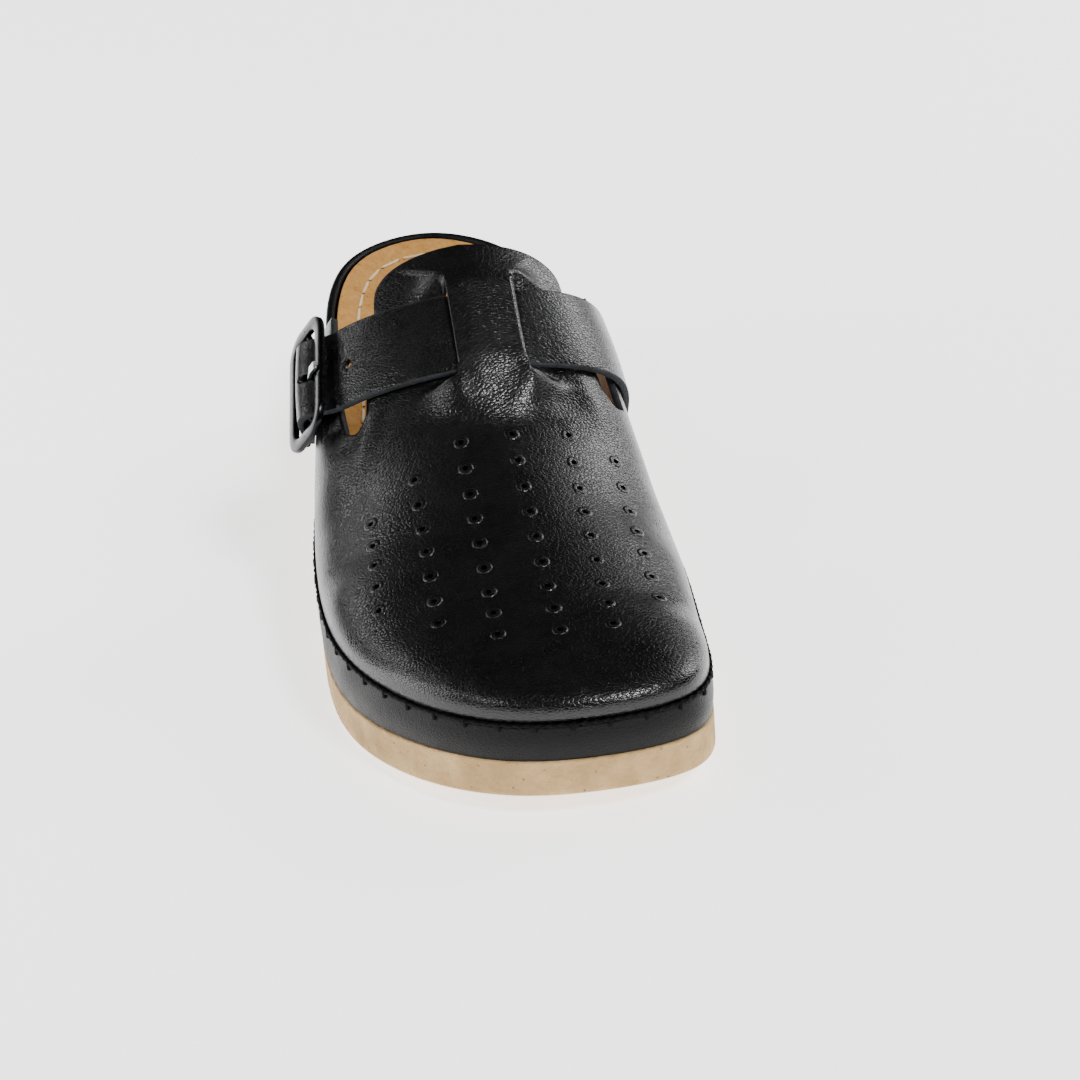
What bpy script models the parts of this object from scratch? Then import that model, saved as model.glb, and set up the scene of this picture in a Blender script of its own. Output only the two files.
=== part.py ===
"""Chef clog, right shoe: foamed sole, leather-wrapped footbed, hollow leather upper, buckled strap.

Axes: the toe points to -Y, the heel to +Y, +X is the inner (medial) side, +Z is up. The origin
is the middle of the heel's flat tread, on the floor.
Sizes are in millimetres and become metres when a mesh is made.
"""
import math

import bmesh
import bpy
import numpy as np

MM = 0.001

# Driving sizes of the whole shoe
LENGTH = 262.0
BALL_WIDTH = 90.0
INSTEP_HEIGHT = 88.2
RIM_HEIGHT = 46.0
TOE_SEAM_HEIGHT = 25.4
TOE_SPRING = 6.8
ARCH_RISE = 3.5

# Outsole
HEEL_WALL = 27.0
FORE_WALL = 10.2
SOLE_BEVEL = 1.3
GROOVE_WIDTH = 2.6
GROOVE_DEPTH = 2.0
GROOVE_PITCH = 14.0
GROOVE_MARGIN = 8.0
GROOVE_TAPER = 0.6
HEEL_TREAD = (0.02, 0.27)
FORE_TREAD = (0.56, 0.82)

# Wrapped footbed and insole
LIP = 2.8
LIP_WALL = 2.4
LIP_SLOPE = 0.1
WRAP_INSET = 0.3
WRAP_ROUND = 1.0
BAND_BULGE = 0.5
CUP_DEPTH = 8.0
CUP_RADIUS = 17.0
INSOLE_THICKNESS = 1.6
INSOLE_PLAY = 0.5

# Leather upper and strap
LEATHER = 1.8
UPPER_INSET = 0.5
STRAP_WIDTH = 23.0
STRAP_THICKNESS = 1.8
SLOT_LENGTH = 32.0
SLOT_GAP = 1.8
BRIDGE_WIDTH = 18.0
BRIDGE_SHIFT = 3.3
BRIDGE_RAMP = 9.0
BRIDGE_SPREAD = 6.0
STRAP_DIP = 0.6
DIP_RUN = 2.4
NOTCH_ROUND = 2.4
STRAP_SLOPE = 35.0
STRAP_HOLE = 2.8
HOLE_PITCH = 9.5
STRAP_RUN = {"lateral": 61.0, "medial": 62.0}
BUCKLE_RUN = 44.5
HUMP_SPREAD = 4.5

# Buckle
FRAME_LENGTH = 36.0
FRAME_WIDTH = 20.0
FRAME_BAND = 3.6
FRAME_THICKNESS = 1.6
FRAME_CORNER = 7.0
FRAME_EDGE = 0.35
FRAME_PLAY = 1.3
BAR_RADIUS = 0.9
PRONG_WIDTH = 2.2
PRONG_THICKNESS = 1.1
TAB_WIDTH = 19.0
TAB_THICKNESS = 0.9
TAB_LENGTH = 13.0
PRONG_REACH = 9.0
PRONG_TURN = (-60.0, 100.0)
PRONG_PATH = ((0.45, 0.6), (0.7, 0.0), (1.0, 0.0))
TAB_TURN = (-15.0, 270.0)
TAB_TAIL = (0.15, 0.3, 0.45, 0.6, 0.8, 1.0)
TAB_BEND = 4.0
TAB_RAMP = (4.0, 2.0)

# Clearance between touching pieces
GAP = 0.3

# Mesh density
RING = 56
ACROSS = 10

# Plan outline, clockwise from the back of the heel: shares of ball width across, of length from the heel
OUTLINE = (
    (0.00, 0.000), (-0.211, 0.026), (-0.339, 0.113), (-0.383, 0.220), (-0.412, 0.379),
    (-0.490, 0.533), (-0.529, 0.680), (-0.497, 0.806), (-0.361, 0.910), (-0.121, 0.984),
    (0.133, 1.000), (0.378, 0.975), (0.459, 0.864), (0.472, 0.741), (0.439, 0.580),
    (0.387, 0.400), (0.367, 0.240), (0.311, 0.116), (0.194, 0.040),
)

# Sole heights along the shoe. at: share of length from the heel; lift: share of toe spring;
# arch: share of arch rise; wedge: share of the step from forefoot wall to heel wall;
# rim: share of the step from toe seam to heel rim; cup: share of cup depth
SOLE_SECTIONS = (
    # at, lift, arch, wedge, rim, cup
    (0.00, 0.00, 0.00, 1.00, 1.000, 1.00),
    (0.10, 0.00, 0.00, 0.98, 0.930, 1.00),
    (0.20, 0.00, 0.00, 0.93, 0.830, 0.98),
    (0.30, 0.00, 0.25, 0.82, 0.735, 0.95),
    (0.40, 0.00, 1.00, 0.62, 0.600, 0.90),
    (0.50, 0.00, 0.70, 0.30, 0.300, 0.75),
    (0.60, 0.00, 0.00, 0.06, 0.065, 0.60),
    (0.73, 0.00, 0.00, 0.01, -0.050, 0.55),
    (0.80, 0.10, 0.00, 0.00, -0.085, 0.55),
    (0.90, 0.46, 0.00, 0.00, -0.075, 0.55),
    (1.00, 1.00, 0.00, -0.05, 0.000, 0.50),
)

# Upper sections. at: share of length from the heel; top: share of instep height; crest: share of
# ball width; round and fall: how square each side's shoulder is and how far it falls from the crest
UPPER_SECTIONS = (
    # at, top, crest, lateral round, lateral fall, medial round, medial fall
    (0.405, 1.075, 0.000, 4.0, 0.22, 4.0, 0.19),
    (0.460, 1.000, 0.000, 4.0, 0.22, 4.0, 0.19),
    (0.500, 0.918, 0.000, 3.8, 0.24, 4.1, 0.19),
    (0.546, 0.825, 0.000, 3.4, 0.28, 4.0, 0.22),
    (0.592, 0.732, 0.000, 3.1, 0.34, 3.8, 0.26),
    (0.653, 0.637, 0.005, 3.0, 0.46, 3.2, 0.38),
    (0.714, 0.562, 0.012, 3.1, 0.46, 2.9, 0.42),
    (0.775, 0.500, 0.022, 3.4, 0.36, 2.9, 0.34),
    (0.836, 0.444, 0.034, 3.4, 0.36, 2.9, 0.34),
    (0.901, 0.412, 0.045, 4.0, 0.20, 3.6, 0.20),
    (1.000, 0.392, 0.050, 4.2, 0.06, 4.2, 0.06),
)

# Cut edges, as shares of the way from crest to seam. at: share of length from the heel
CUT_EDGES = (
    # at, lateral tongue, lateral wing, medial tongue, medial wing
    (0.405, 0.48, 0.89, 0.58, 0.87),
    (0.460, 0.53, 0.86, 0.63, 0.89),
    (0.500, 0.575, 0.84, 0.69, 0.90),
    (0.546, 0.63, 0.81, 0.755, 0.91),
    (0.592, 0.66, 0.77, 0.80, 0.92),
    (0.653, 0.69, 0.80, 0.79, 0.91),
    (0.836, 0.72, 0.82, 0.76, 0.87),
)

FAN_AT = 0.836
TOE_ROWS = 10
TOE_CROWDING = 1.7
VAMP_ROWS = (0.805, 0.772, 0.740, 0.710, 0.682, 0.656, 0.634, 0.621, 0.608)
SLOT_MIDDLE_AT = 0.546
SLOT_ROWS = (0.0, 0.025, 0.05, 0.19, 0.4, 0.6, 0.81, 0.95, 0.975, 1.0)
BRIDGE_END = 0.05
NOTCH_ROW = {"lateral": 3, "medial": 3}
TONGUE_TIP_AT = 0.460
TONGUE_ROWS = (0.35, 0.65, 0.88, 1.0)
TONGUE_TURNS = (90.0, 73.0, 64.0, 50.0, 35.0, 18.0, 0.0)
TONGUE_SQUARENESS = 0.5
WING_ROWS = (0.12, 0.25, 0.4, 0.55, 0.7, 0.85, 1.0)
WING_FOOT_AT = 0.395
WING_HEAD_AT = {"lateral": 0.452, "medial": 0.462}
WING_SWEEP = 1.3
WALL_STEPS = 6
MIRROR = {"lateral": -1.0, "medial": 1.0}

STRAP_STATIONS = 62
STRAP_COLUMNS = 5
TAIL_ROUND = 7.0
BED_REACH = (0.36, 0.70)
PATH_STEPS = 160
PATH_CROWDING = 1.6
BISECTIONS = 40
NEAR_ANGLE = 0.02
NEAR = 0.5
CORNER_STEPS = 5
BAR_STEPS = 5
EYE_STEPS = 12
BAR_SIDES = 12

FINISHES = {
    "outsole": ((0.56, 0.43, 0.24), 0.75, 0.0),
    "footbed_band": ((0.012, 0.013, 0.015), 0.45, 0.0),
    "insole": ((0.50, 0.28, 0.11), 0.8, 0.0),
    "upper": ((0.010, 0.010, 0.011), 0.38, 0.0),
    "strap": ((0.010, 0.010, 0.011), 0.40, 0.0),
    "buckle_frame": ((0.10, 0.10, 0.11), 0.18, 1.0),
    "buckle_prong": ((0.45, 0.45, 0.47), 0.15, 1.0),
    "buckle_tab": ((0.012, 0.012, 0.013), 0.5, 0.0),
}


def clear_scene():
    """Remove every object that is in the scene."""
    for item in list(bpy.data.objects):
        bpy.data.objects.remove(item, do_unlink=True)


def finish_of(name):
    """A Principled material with the piece's own colour, roughness and metallic value."""
    colour, roughness, metallic = FINISHES[name]
    material = bpy.data.materials.new(name)
    material.use_nodes = True
    shader = material.node_tree.nodes["Principled BSDF"]
    shader.inputs["Base Color"].default_value = (*colour, 1.0)
    shader.inputs["Roughness"].default_value = roughness
    shader.inputs["Metallic"].default_value = metallic
    return material


def make_object(name, points, faces, finish=None, sharp=40.0):
    """One closed mesh object from points in millimetres."""
    mesh = bpy.data.meshes.new(name)
    from_rest = np.asarray(points) - [0.0, y_of(sum(HEEL_TREAD) / 2), 0.0]
    mesh.from_pydata([tuple(p) for p in from_rest * MM], [], faces)
    work = bmesh.new()
    work.from_mesh(mesh)
    bmesh.ops.remove_doubles(work, verts=work.verts, dist=2e-6)
    bmesh.ops.dissolve_degenerate(work, edges=work.edges, dist=1e-6)
    bmesh.ops.recalc_face_normals(work, faces=work.faces)
    work.to_mesh(mesh)
    work.free()
    mesh.shade_smooth()
    mesh.set_sharp_from_angle(angle=math.radians(sharp))
    item = bpy.data.objects.new(name, mesh)
    bpy.context.collection.objects.link(item)
    if finish:
        mesh.materials.append(finish_of(finish))
    return item


def smooth_table(table, column, at):
    """Read one column of a section table with a smooth curve that never overshoots its rows."""
    rows = np.array(table)
    x = rows[:, 0]
    y = rows[:, column]
    step = np.diff(x)
    slope = np.diff(y) / step
    tangent = np.zeros_like(y)
    same = slope[:-1] * slope[1:] > 0
    blend = 2 * slope[:-1] * slope[1:] / np.where(same, slope[:-1] + slope[1:], 1.0)
    tangent[1:-1] = np.where(same, blend, 0.0)
    tangent[0] = slope[0]
    tangent[-1] = slope[-1]
    at = np.clip(np.asarray(at, float), x[0], x[-1])
    low = np.clip(np.searchsorted(x, at) - 1, 0, len(x) - 2)
    t = (at - x[low]) / step[low]
    h = step[low]
    return (
        y[low] * (1 + 2 * t) * (1 - t) ** 2
        + tangent[low] * h * t * (1 - t) ** 2
        + y[low + 1] * t * t * (3 - 2 * t)
        + tangent[low + 1] * h * t * t * (t - 1)
    )


def closed_curve(points, per_span=24):
    """A smooth closed curve through the points, as a periodic cubic spline."""
    p = np.asarray(points, float)
    count = len(p)
    chord = np.linalg.norm(np.roll(p, -1, axis=0) - p, axis=1)
    before = np.roll(chord, 1)
    system = np.zeros((count, count))
    index = np.arange(count)
    system[index, index] = 2 * (before + chord)
    system[index, (index - 1) % count] = before
    system[index, (index + 1) % count] = chord
    rise = (np.roll(p, -1, axis=0) - p) / chord[:, None]
    bend = np.linalg.solve(system, 6 * (rise - np.roll(rise, 1, axis=0)))
    t = np.linspace(0, 1, per_span, endpoint=False)[None, :, None]
    h = chord[:, None, None]
    start, end = p[:, None], np.roll(p, -1, axis=0)[:, None]
    m0, m1 = bend[:, None], np.roll(bend, -1, axis=0)[:, None]
    curve = start * (1 - t) + end * t - h * h / 6 * (
        m0 * ((1 - t) - (1 - t) ** 3) + m1 * (t - t ** 3)
    )
    return curve.reshape(-1, 2)


def share_of(y):
    """Share of the length from the heel at a y."""
    return (LENGTH / 2 - np.asarray(y)) / LENGTH


def y_of(share):
    """The y at a share of the length from the heel."""
    return LENGTH / 2 - np.asarray(share) * LENGTH


PLAN = closed_curve([(x * BALL_WIDTH, y_of(s)) for x, s in OUTLINE])


def inset_plan(distance):
    """The plan outline moved inwards by a distance."""
    along = np.roll(PLAN, -1, axis=0) - np.roll(PLAN, 1, axis=0)
    along /= np.linalg.norm(along, axis=1)[:, None]
    inward = np.stack([-along[:, 1], along[:, 0]], axis=1)
    middle = PLAN.mean(axis=0)
    inward *= np.sign(np.sum(inward * (middle - PLAN), axis=1).sum())
    return PLAN + inward * distance


def chains(curve):
    """Split a closed plan curve at its toe and heel tips into a lateral and a medial side."""
    toe, heel = int(np.argmin(curve[:, 1])), int(np.argmax(curve[:, 1]))
    turned = np.roll(curve, -toe, axis=0)
    cut = (heel - toe) % len(curve)
    one = turned[: cut + 1]
    other = np.vstack([turned[cut:], turned[:1]])[::-1]
    lateral, medial = (one, other) if one[:, 0].mean() < other[:, 0].mean() else (other, one)
    return lateral, medial


UPPER_CHAINS = dict(zip(("lateral", "medial"), chains(inset_plan(UPPER_INSET))))


def seam_x(y, side):
    """Where the upper's seam stands at a y, on one side."""
    chain = UPPER_CHAINS[side]
    return np.interp(y, chain[:, 1], chain[:, 0])


def ring(inset, count=RING):
    """Plan points round the sole: the toe tip, the lateral side, the heel tip, the medial side."""
    lateral, medial = chains(inset_plan(inset))
    angle = np.linspace(0, math.pi, count // 2 + 1)
    toe, heel = lateral[0, 1], lateral[-1, 1]
    y = (toe + heel) / 2 - np.cos(angle) * (heel - toe) / 2
    left = np.stack([np.interp(y, lateral[:, 1], lateral[:, 0]), y], axis=1)
    right = np.stack([np.interp(y, medial[:, 1], medial[:, 0]), y], axis=1)
    return np.vstack([left, right[-2:0:-1]])


def floor_z(y):
    """Underside of the sole: flat heel and forefoot, a shallow arch, and the toe spring."""
    s = share_of(y)
    return smooth_table(SOLE_SECTIONS, 1, s) * TOE_SPRING + smooth_table(SOLE_SECTIONS, 2, s) * ARCH_RISE


def wall_z(y):
    """Top of the foamed sole's side."""
    s = share_of(y)
    lift = smooth_table(SOLE_SECTIONS, 1, s) * TOE_SPRING
    return lift + FORE_WALL + smooth_table(SOLE_SECTIONS, 3, s) * (HEEL_WALL - FORE_WALL)


def rim_z(y):
    """Top edge of the wrapped footbed: the seam line of the upper and the rim round the heel."""
    share = smooth_table(SOLE_SECTIONS, 4, share_of(y))
    return TOE_SEAM_HEIGHT + share * (RIM_HEIGHT - TOE_SEAM_HEIGHT)


def with_z(plan, height):
    """Plan points with a height for each."""
    return np.column_stack([plan, np.broadcast_to(height, len(plan))])


def ladder(plan, height, across):
    """Rows of points that join the two sides of a ring, with their faces, as a cap of the ring."""
    half = len(plan) // 2
    left = plan[1:half]
    right = plan[:half:-1]
    t = np.linspace(0, 1, across + 1)[1:-1]
    rows = left[:, None] * (1 - t)[None, :, None] + right[:, None] * t[None, :, None]
    inner = rows.reshape(-1, 2)
    points = np.column_stack([inner, height(inner)])
    return points, half


def cap_faces(half, across, ring_start, inner_start, upward):
    """Faces of a ladder cap between its ring's points and its inner rows."""
    count = 2 * half

    def vertex(row, column):
        if column == 0:
            return ring_start + row
        if column == across:
            return ring_start + (count - row) % count
        return inner_start + (row - 1) * (across - 1) + column - 1

    faces = []
    for column in range(across):
        faces.append((ring_start, vertex(1, column), vertex(1, column + 1)))
        faces.append((vertex(half - 1, column + 1), vertex(half - 1, column), ring_start + half))
        for row in range(1, half - 1):
            near = (vertex(row, column), vertex(row + 1, column))
            far = (vertex(row + 1, column + 1), vertex(row, column + 1))
            faces.append(near + far)
    return faces if upward else [face[::-1] for face in faces]


def band_faces(lower, upper, count):
    """Quads between two rings of equal count."""
    return [
        (lower + i, lower + (i + 1) % count, upper + (i + 1) % count, upper + i)
        for i in range(count)
    ]


def stack_of_rings(name, rings, bottom_cap, top_cap, across, finish):
    """A closed solid from rings, lowest first, with a ladder cap on its underside and its top."""
    count = len(rings[0])
    points = np.vstack(rings)
    faces = []
    for level in range(len(rings) - 1):
        faces += band_faces(level * count, (level + 1) * count, count)
    low_points, half = ladder(rings[0][:, :2], bottom_cap, across)
    high_points, _ = ladder(rings[-1][:, :2], top_cap, across)
    low_start = len(points)
    high_start = low_start + len(low_points)
    points = np.vstack([points, low_points, high_points])
    faces += cap_faces(half, across, 0, low_start, False)
    faces += cap_faces(half, across, (len(rings) - 1) * count, high_start, True)
    return make_object(name, points, faces, finish)


def edge_distance(plan, inset):
    """How far each plan point lies inside the inset outline."""
    edge = inset_plan(inset)
    gap = np.linalg.norm(plan[:, None] - edge[None], axis=2)
    return gap.min(axis=1)


def cup_z(plan, lift=0.0):
    """The dished face of the footbed, which falls away from its rim towards the middle."""
    depth = smooth_table(SOLE_SECTIONS, 5, share_of(plan[:, 1])) * CUP_DEPTH
    t = np.clip(edge_distance(plan, LIP) / CUP_RADIUS, 0, 1)
    fall = np.sin(t * math.pi / 2)
    return rim_z(plan[:, 1]) - LIP_WALL - fall * (depth - LIP_WALL) + lift


def build_outsole():
    """The foamed wedge sole with its bevelled foot edge and cross-cut tread."""
    foot = ring(SOLE_BEVEL)
    edge = ring(0.0)
    top = ring(0.0)
    rings = (
        with_z(foot, floor_z(foot[:, 1])),
        with_z(edge, floor_z(edge[:, 1]) + SOLE_BEVEL),
        with_z(top, wall_z(top[:, 1])),
    )
    sole = stack_of_rings(
        "outsole", rings, lambda p: floor_z(p[:, 1]), lambda p: wall_z(p[:, 1]), 2, "outsole"
    )
    cutter = build_tread_cutter()
    cut = sole.modifiers.new("tread", "BOOLEAN")
    cut.object = cutter
    cut.operation = "DIFFERENCE"
    cut.solver = "EXACT"
    return sole


def build_tread_cutter():
    """Wedge-shaped bars across the tread, one to each groove, under the heel and the forefoot."""
    points, faces = [], []
    reach = BALL_WIDTH
    half = GROOVE_WIDTH / 2
    for low, high in (HEEL_TREAD, FORE_TREAD):
        span = (high - low) * LENGTH - 2 * GROOVE_MARGIN
        count = int(span // GROOVE_PITCH) + 1
        middle = y_of((low + high) / 2)
        for index in range(count):
            y = middle + (index - (count - 1) / 2) * GROOVE_PITCH
            depth = float(floor_z(y)) + GROOVE_DEPTH
            start = len(points)
            floor = half * GROOVE_TAPER
            mouth = ((y - half, -GROOVE_DEPTH), (y + half, -GROOVE_DEPTH))
            section = mouth + ((y + floor, depth), (y - floor, depth))
            points += [(side, *corner) for side in (-reach, reach) for corner in section]
            faces += [tuple(start + i for i in (0, 1, 2, 3)), tuple(start + i for i in (7, 6, 5, 4))]
            faces += [
                tuple(start + i for i in (k, (k + 1) % 4, 4 + (k + 1) % 4, 4 + k)) for k in range(4)
            ]
    cutter = make_object("tread_cutter", points, faces)
    cutter.hide_render = True
    cutter.display_type = "WIRE"
    return cutter


def build_footbed_band():
    """The leather-wrapped footbed: an upright edge, a rolled lip and a dished top."""
    foot, belly, shoulder = ring(WRAP_INSET), ring(WRAP_INSET - BAND_BULGE), ring(WRAP_INSET)
    lip, inner = ring(UPPER_INSET + WRAP_INSET), ring(LIP)
    foot_z = wall_z(foot[:, 1]) + GAP
    top_z = rim_z(shoulder[:, 1])
    rings = (
        with_z(foot, foot_z),
        with_z(belly, (foot_z + top_z) / 2),
        with_z(shoulder, top_z - WRAP_ROUND),
        with_z(lip, rim_z(lip[:, 1])),
        with_z(inner, rim_z(inner[:, 1])),
        with_z(ring(LIP + LIP_SLOPE), rim_z(inner[:, 1]) - LIP_WALL),
    )
    return stack_of_rings(
        "footbed_band", rings, lambda p: wall_z(p[:, 1]) + GAP, cup_z, ACROSS, "footbed_band"
    )


def build_insole():
    """The leather sock in the dish of the footbed."""
    edge = ring(LIP + LIP_SLOPE + INSOLE_PLAY)
    low = cup_z(edge) + INSOLE_PLAY
    rings = (with_z(edge, low), with_z(edge, low + INSOLE_THICKNESS))
    return stack_of_rings(
        "insole",
        rings,
        lambda p: cup_z(p, INSOLE_PLAY),
        lambda p: cup_z(p, INSOLE_PLAY + INSOLE_THICKNESS),
        ACROSS,
        "insole",
    )


def section_values(y, side):
    """Seam point, crest point and shoulder shape of the upper's sections at each y."""
    s = share_of(y)
    first = 3 if side == "lateral" else 5
    return {
        "top": smooth_table(UPPER_SECTIONS, 1, s) * INSTEP_HEIGHT,
        "crest": smooth_table(UPPER_SECTIONS, 2, s) * BALL_WIDTH,
        "round": smooth_table(UPPER_SECTIONS, first, s),
        "fall": smooth_table(UPPER_SECTIONS, first + 1, s),
        "seam_x": seam_x(y, side),
        "seam_z": rim_z(y) + GAP,
    }


def sweep(angle, roundness, fall):
    """Share of the way out and share of the height for a sweep angle from seam (0) to crest."""
    out = np.maximum(np.cos(angle), 0) ** (2 / roundness)
    up = (1 - fall * out ** 1.5) * np.maximum(np.sin(angle), 0) ** (2 / roundness)
    return out, up


def angle_of(out, roundness):
    """The sweep angle at a share of the way out."""
    return np.arccos(np.clip(out, 0, 1) ** (roundness / 2))


def upper_point(y, angle, side):
    """A point of the upper's outer face, behind the toe fan, at a y and a sweep angle."""
    v = section_values(y, side)
    out, up = sweep(angle, v["round"], v["fall"])
    x = v["crest"] + (v["seam_x"] - v["crest"]) * out
    z = v["seam_z"] + (v["top"] - v["seam_z"]) * up
    return np.stack(np.broadcast_arrays(x, y, z), axis=-1)


def fan_point(edge_y, angle, side):
    """A point of the toe cap: sections fan round the front end of the crest.

    The cap leaves the crest's end with the crest's own slope, so that all sections meet there.
    """
    hub_y = y_of(FAN_AT)
    v = section_values(edge_y, side)
    hub = section_values(hub_y, side)
    out, up = sweep(angle, v["round"], v["fall"])
    x = hub["crest"] + (v["seam_x"] - hub["crest"]) * out
    y = hub_y + (edge_y - hub_y) * out
    ahead, behind = (section_values(hub_y + step, side)["top"] for step in (-1.0, 1.0))
    slope = (edge_y - hub_y) * (behind - ahead) / 2
    top = hub["top"] + slope * out + (v["top"] - hub["top"] - slope) * out ** 2
    z = v["seam_z"] + (top - v["seam_z"]) * up
    return np.stack(np.broadcast_arrays(x, y, z), axis=-1)


def cut_edges(y, side):
    """Shares out from the crest of the tongue's edge and of the wing's edge."""
    first = 1 if side == "lateral" else 3
    s = share_of(y)
    return smooth_table(CUT_EDGES, first, s), smooth_table(CUT_EDGES, first + 1, s)


def slot_edges(y, side):
    """Shares out from the crest of a strap slot's two edges."""
    v = section_values(y, side)
    reach = abs(float(v["seam_x"] - v["crest"]))
    middle = MIRROR[side] * (BRIDGE_SHIFT - float(v["crest"])) + BRIDGE_WIDTH / 2
    return (middle - SLOT_GAP / 2) / reach, (middle + SLOT_GAP / 2) / reach


def column_angles(y, side):
    """Sweep angles of the upper's columns at a y, from the crest out to the seam."""
    tongue, wing = cut_edges(y, side)
    inner, outer = slot_edges(y, side)
    over_tongue = np.linspace(outer, tongue, TONGUE_COLUMN - SLOT_COLUMN)
    over_notch = np.linspace(tongue, wing, WING_COLUMN - TONGUE_COLUMN + 1)[1:]
    shares = np.concatenate([[0.0, inner], over_tongue, over_notch])
    roundness = float(section_values(y, side)["round"])
    angles = angle_of(shares, roundness)
    wall = np.linspace(angles[-1], 0, WALL_STEPS + 1)[1:]
    return np.concatenate([angles, wall])


SLOT_COLUMN = 1
TONGUE_COLUMN = 6
WING_COLUMN = 9
LAST_COLUMN = WING_COLUMN + WALL_STEPS


def slot_y(share):
    """The y at a share of the slot's length, from its toe end to its heel end."""
    run = SLOT_LENGTH * math.cos(math.radians(STRAP_SLOPE))
    return float(y_of(SLOT_MIDDLE_AT)) + (share - 0.5) * run


def tongue_end(side):
    """Edge of the tongue's rounded end, from its middle out to its side: ys and shares out."""
    tip = float(y_of(TONGUE_TIP_AT))
    start = slot_y(1.0)
    tongue, _ = cut_edges(start, side)
    turn = np.radians(TONGUE_TURNS)
    outs = float(tongue) * np.maximum(np.cos(turn), 0) ** TONGUE_SQUARENESS
    ys = start + (tip - start) * np.sin(turn) ** TONGUE_SQUARENESS
    return ys, outs


class Sheet:
    """Rows of surface points and the quads between them, before the leather gets its thickness."""

    def __init__(self):
        self.points = []
        self.faces = []

    def add_row(self, points):
        start = len(self.points)
        self.points += [tuple(p) for p in points]
        return list(range(start, start + len(points)))

    def join(self, row_a, row_b, columns, flip):
        for c in columns:
            quad = (row_a[c], row_b[c], row_b[c + 1], row_a[c + 1])
            self.faces.append(quad[::-1] if flip else quad)


def vamp_row(y, side, dent=0.0):
    """One row of the upper from crest to seam; a dent rounds the floor of the notch."""
    angles = column_angles(y, side)
    ys = np.full(len(angles), float(y))
    ys[TONGUE_COLUMN + 1: WING_COLUMN] -= dent
    return upper_point(ys, angles, side)


def ease(t):
    """A smooth step from 0 to 1."""
    t = np.clip(t, 0, 1)
    return t * t * (3 - 2 * t)


def bridge_height():
    """How far up the sloping bridge is moved so that the strap passes under it."""
    return (4 * GAP + STRAP_THICKNESS + LEATHER - STRAP_DIP) / math.cos(math.radians(STRAP_SLOPE))


def raise_bridge(points, y):
    """Lift the bridge's columns over the strap, and swell the leather round the slots' ends."""
    points = np.array(points)
    start, end = slot_y(0.0), slot_y(1.0)
    near = (end - start) * BRIDGE_END
    depth = min(y - start, end - y)
    ramp = ease(1 + depth / BRIDGE_RAMP) / 2
    full = ease(depth / near) / 2
    aside = np.maximum(np.abs(points[:, 0] - BRIDGE_SHIFT) - BRIDGE_WIDTH / 2, 0)
    swell = ramp * (1 - 2 * full) * np.exp(-((aside / BRIDGE_SPREAD) ** 2))
    swell[: SLOT_COLUMN + 1] = ramp + full
    points[:, 2] += swell * bridge_height()
    return points


def column_shares(y, side):
    """Shares out from the crest of the upper's columns at a y."""
    roundness = float(section_values(y, side)["round"])
    return np.maximum(np.cos(column_angles(y, side)), 0) ** (2 / roundness)


def add_toe(sheet, side, flip):
    """The fan of sections round the toe, up to the row where the straight sections begin."""
    lateral, medial = chains(inset_plan(UPPER_INSET))
    chain = lateral if side == "lateral" else medial
    toe_y = chain[0, 1]
    hub_y = float(y_of(FAN_AT))
    own = column_shares(hub_y, side)
    shared = (column_shares(hub_y, "lateral") + column_shares(hub_y, "medial")) / 2
    last = None
    for turn in np.linspace(0, 1, TOE_ROWS):
        y = float(toe_y + (hub_y - toe_y) * turn ** TOE_CROWDING)
        outs = shared + (own - shared) * turn
        points = toe_row(y, outs, side)
        if turn == 0:
            points = (toe_row(y, outs, "lateral") + toe_row(y, outs, "medial")) / 2
        row = sheet.add_row(points)
        if last:
            sheet.join(last, row, range(LAST_COLUMN), flip)
        last = row
    return last


def toe_row(edge_y, outs, side):
    """One spoke of the toe fan, at shares out from the hub."""
    roundness = float(section_values(edge_y, side)["round"])
    return fan_point(edge_y, angle_of(outs, roundness), side)


def add_side(sheet, side):
    """One half of the upper: toe, vamp, half of the tongue with its slot, and the wing."""
    flip = side == "medial"
    last = add_toe(sheet, side, flip)
    for share in VAMP_ROWS:
        y = float(y_of(share))
        row = sheet.add_row(raise_bridge(vamp_row(y, side), y))
        sheet.join(last, row, range(LAST_COLUMN), flip)
        last = row
    notch_row = NOTCH_ROW[side]
    wing_start = None
    for index, share in enumerate(SLOT_ROWS):
        dent = NOTCH_ROUND if index == notch_row else 0.0
        row = sheet.add_row(raise_bridge(vamp_row(slot_y(share), side, dent), slot_y(share)))
        columns = [c for c in range(LAST_COLUMN)]
        if index > 0:
            columns = [c for c in columns if c != SLOT_COLUMN]
        if index > notch_row:
            columns = [c for c in columns if c < TONGUE_COLUMN]
        sheet.join(last, row, columns, flip)
        if index == notch_row:
            wing_start = row
        last = row
    add_tongue_end(sheet, side, last, flip)
    add_wing(sheet, side, wing_start, slot_y(SLOT_ROWS[notch_row]), flip)


def add_tongue_end(sheet, side, last, flip):
    """The rounded end of the tongue, from the slot's heel end to the tip."""
    start_y = slot_y(1.0)
    angles = column_angles(start_y, side)[: TONGUE_COLUMN + 1]
    roundness = float(section_values(start_y, side)["round"])
    outs = np.cos(angles) ** (2 / roundness)
    end_ys, end_outs = tongue_end(side)
    for share in TONGUE_ROWS:
        ys = start_y + (end_ys - start_y) * share
        mixed = outs + (end_outs - outs) * share
        row_round = section_values(ys, side)["round"]
        points = upper_point(ys, angle_of(mixed, row_round), side)
        row = sheet.add_row(raise_bridge(points, float(ys[0])))
        sheet.join(last, row, range(TONGUE_COLUMN), flip)
        last = row


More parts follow.
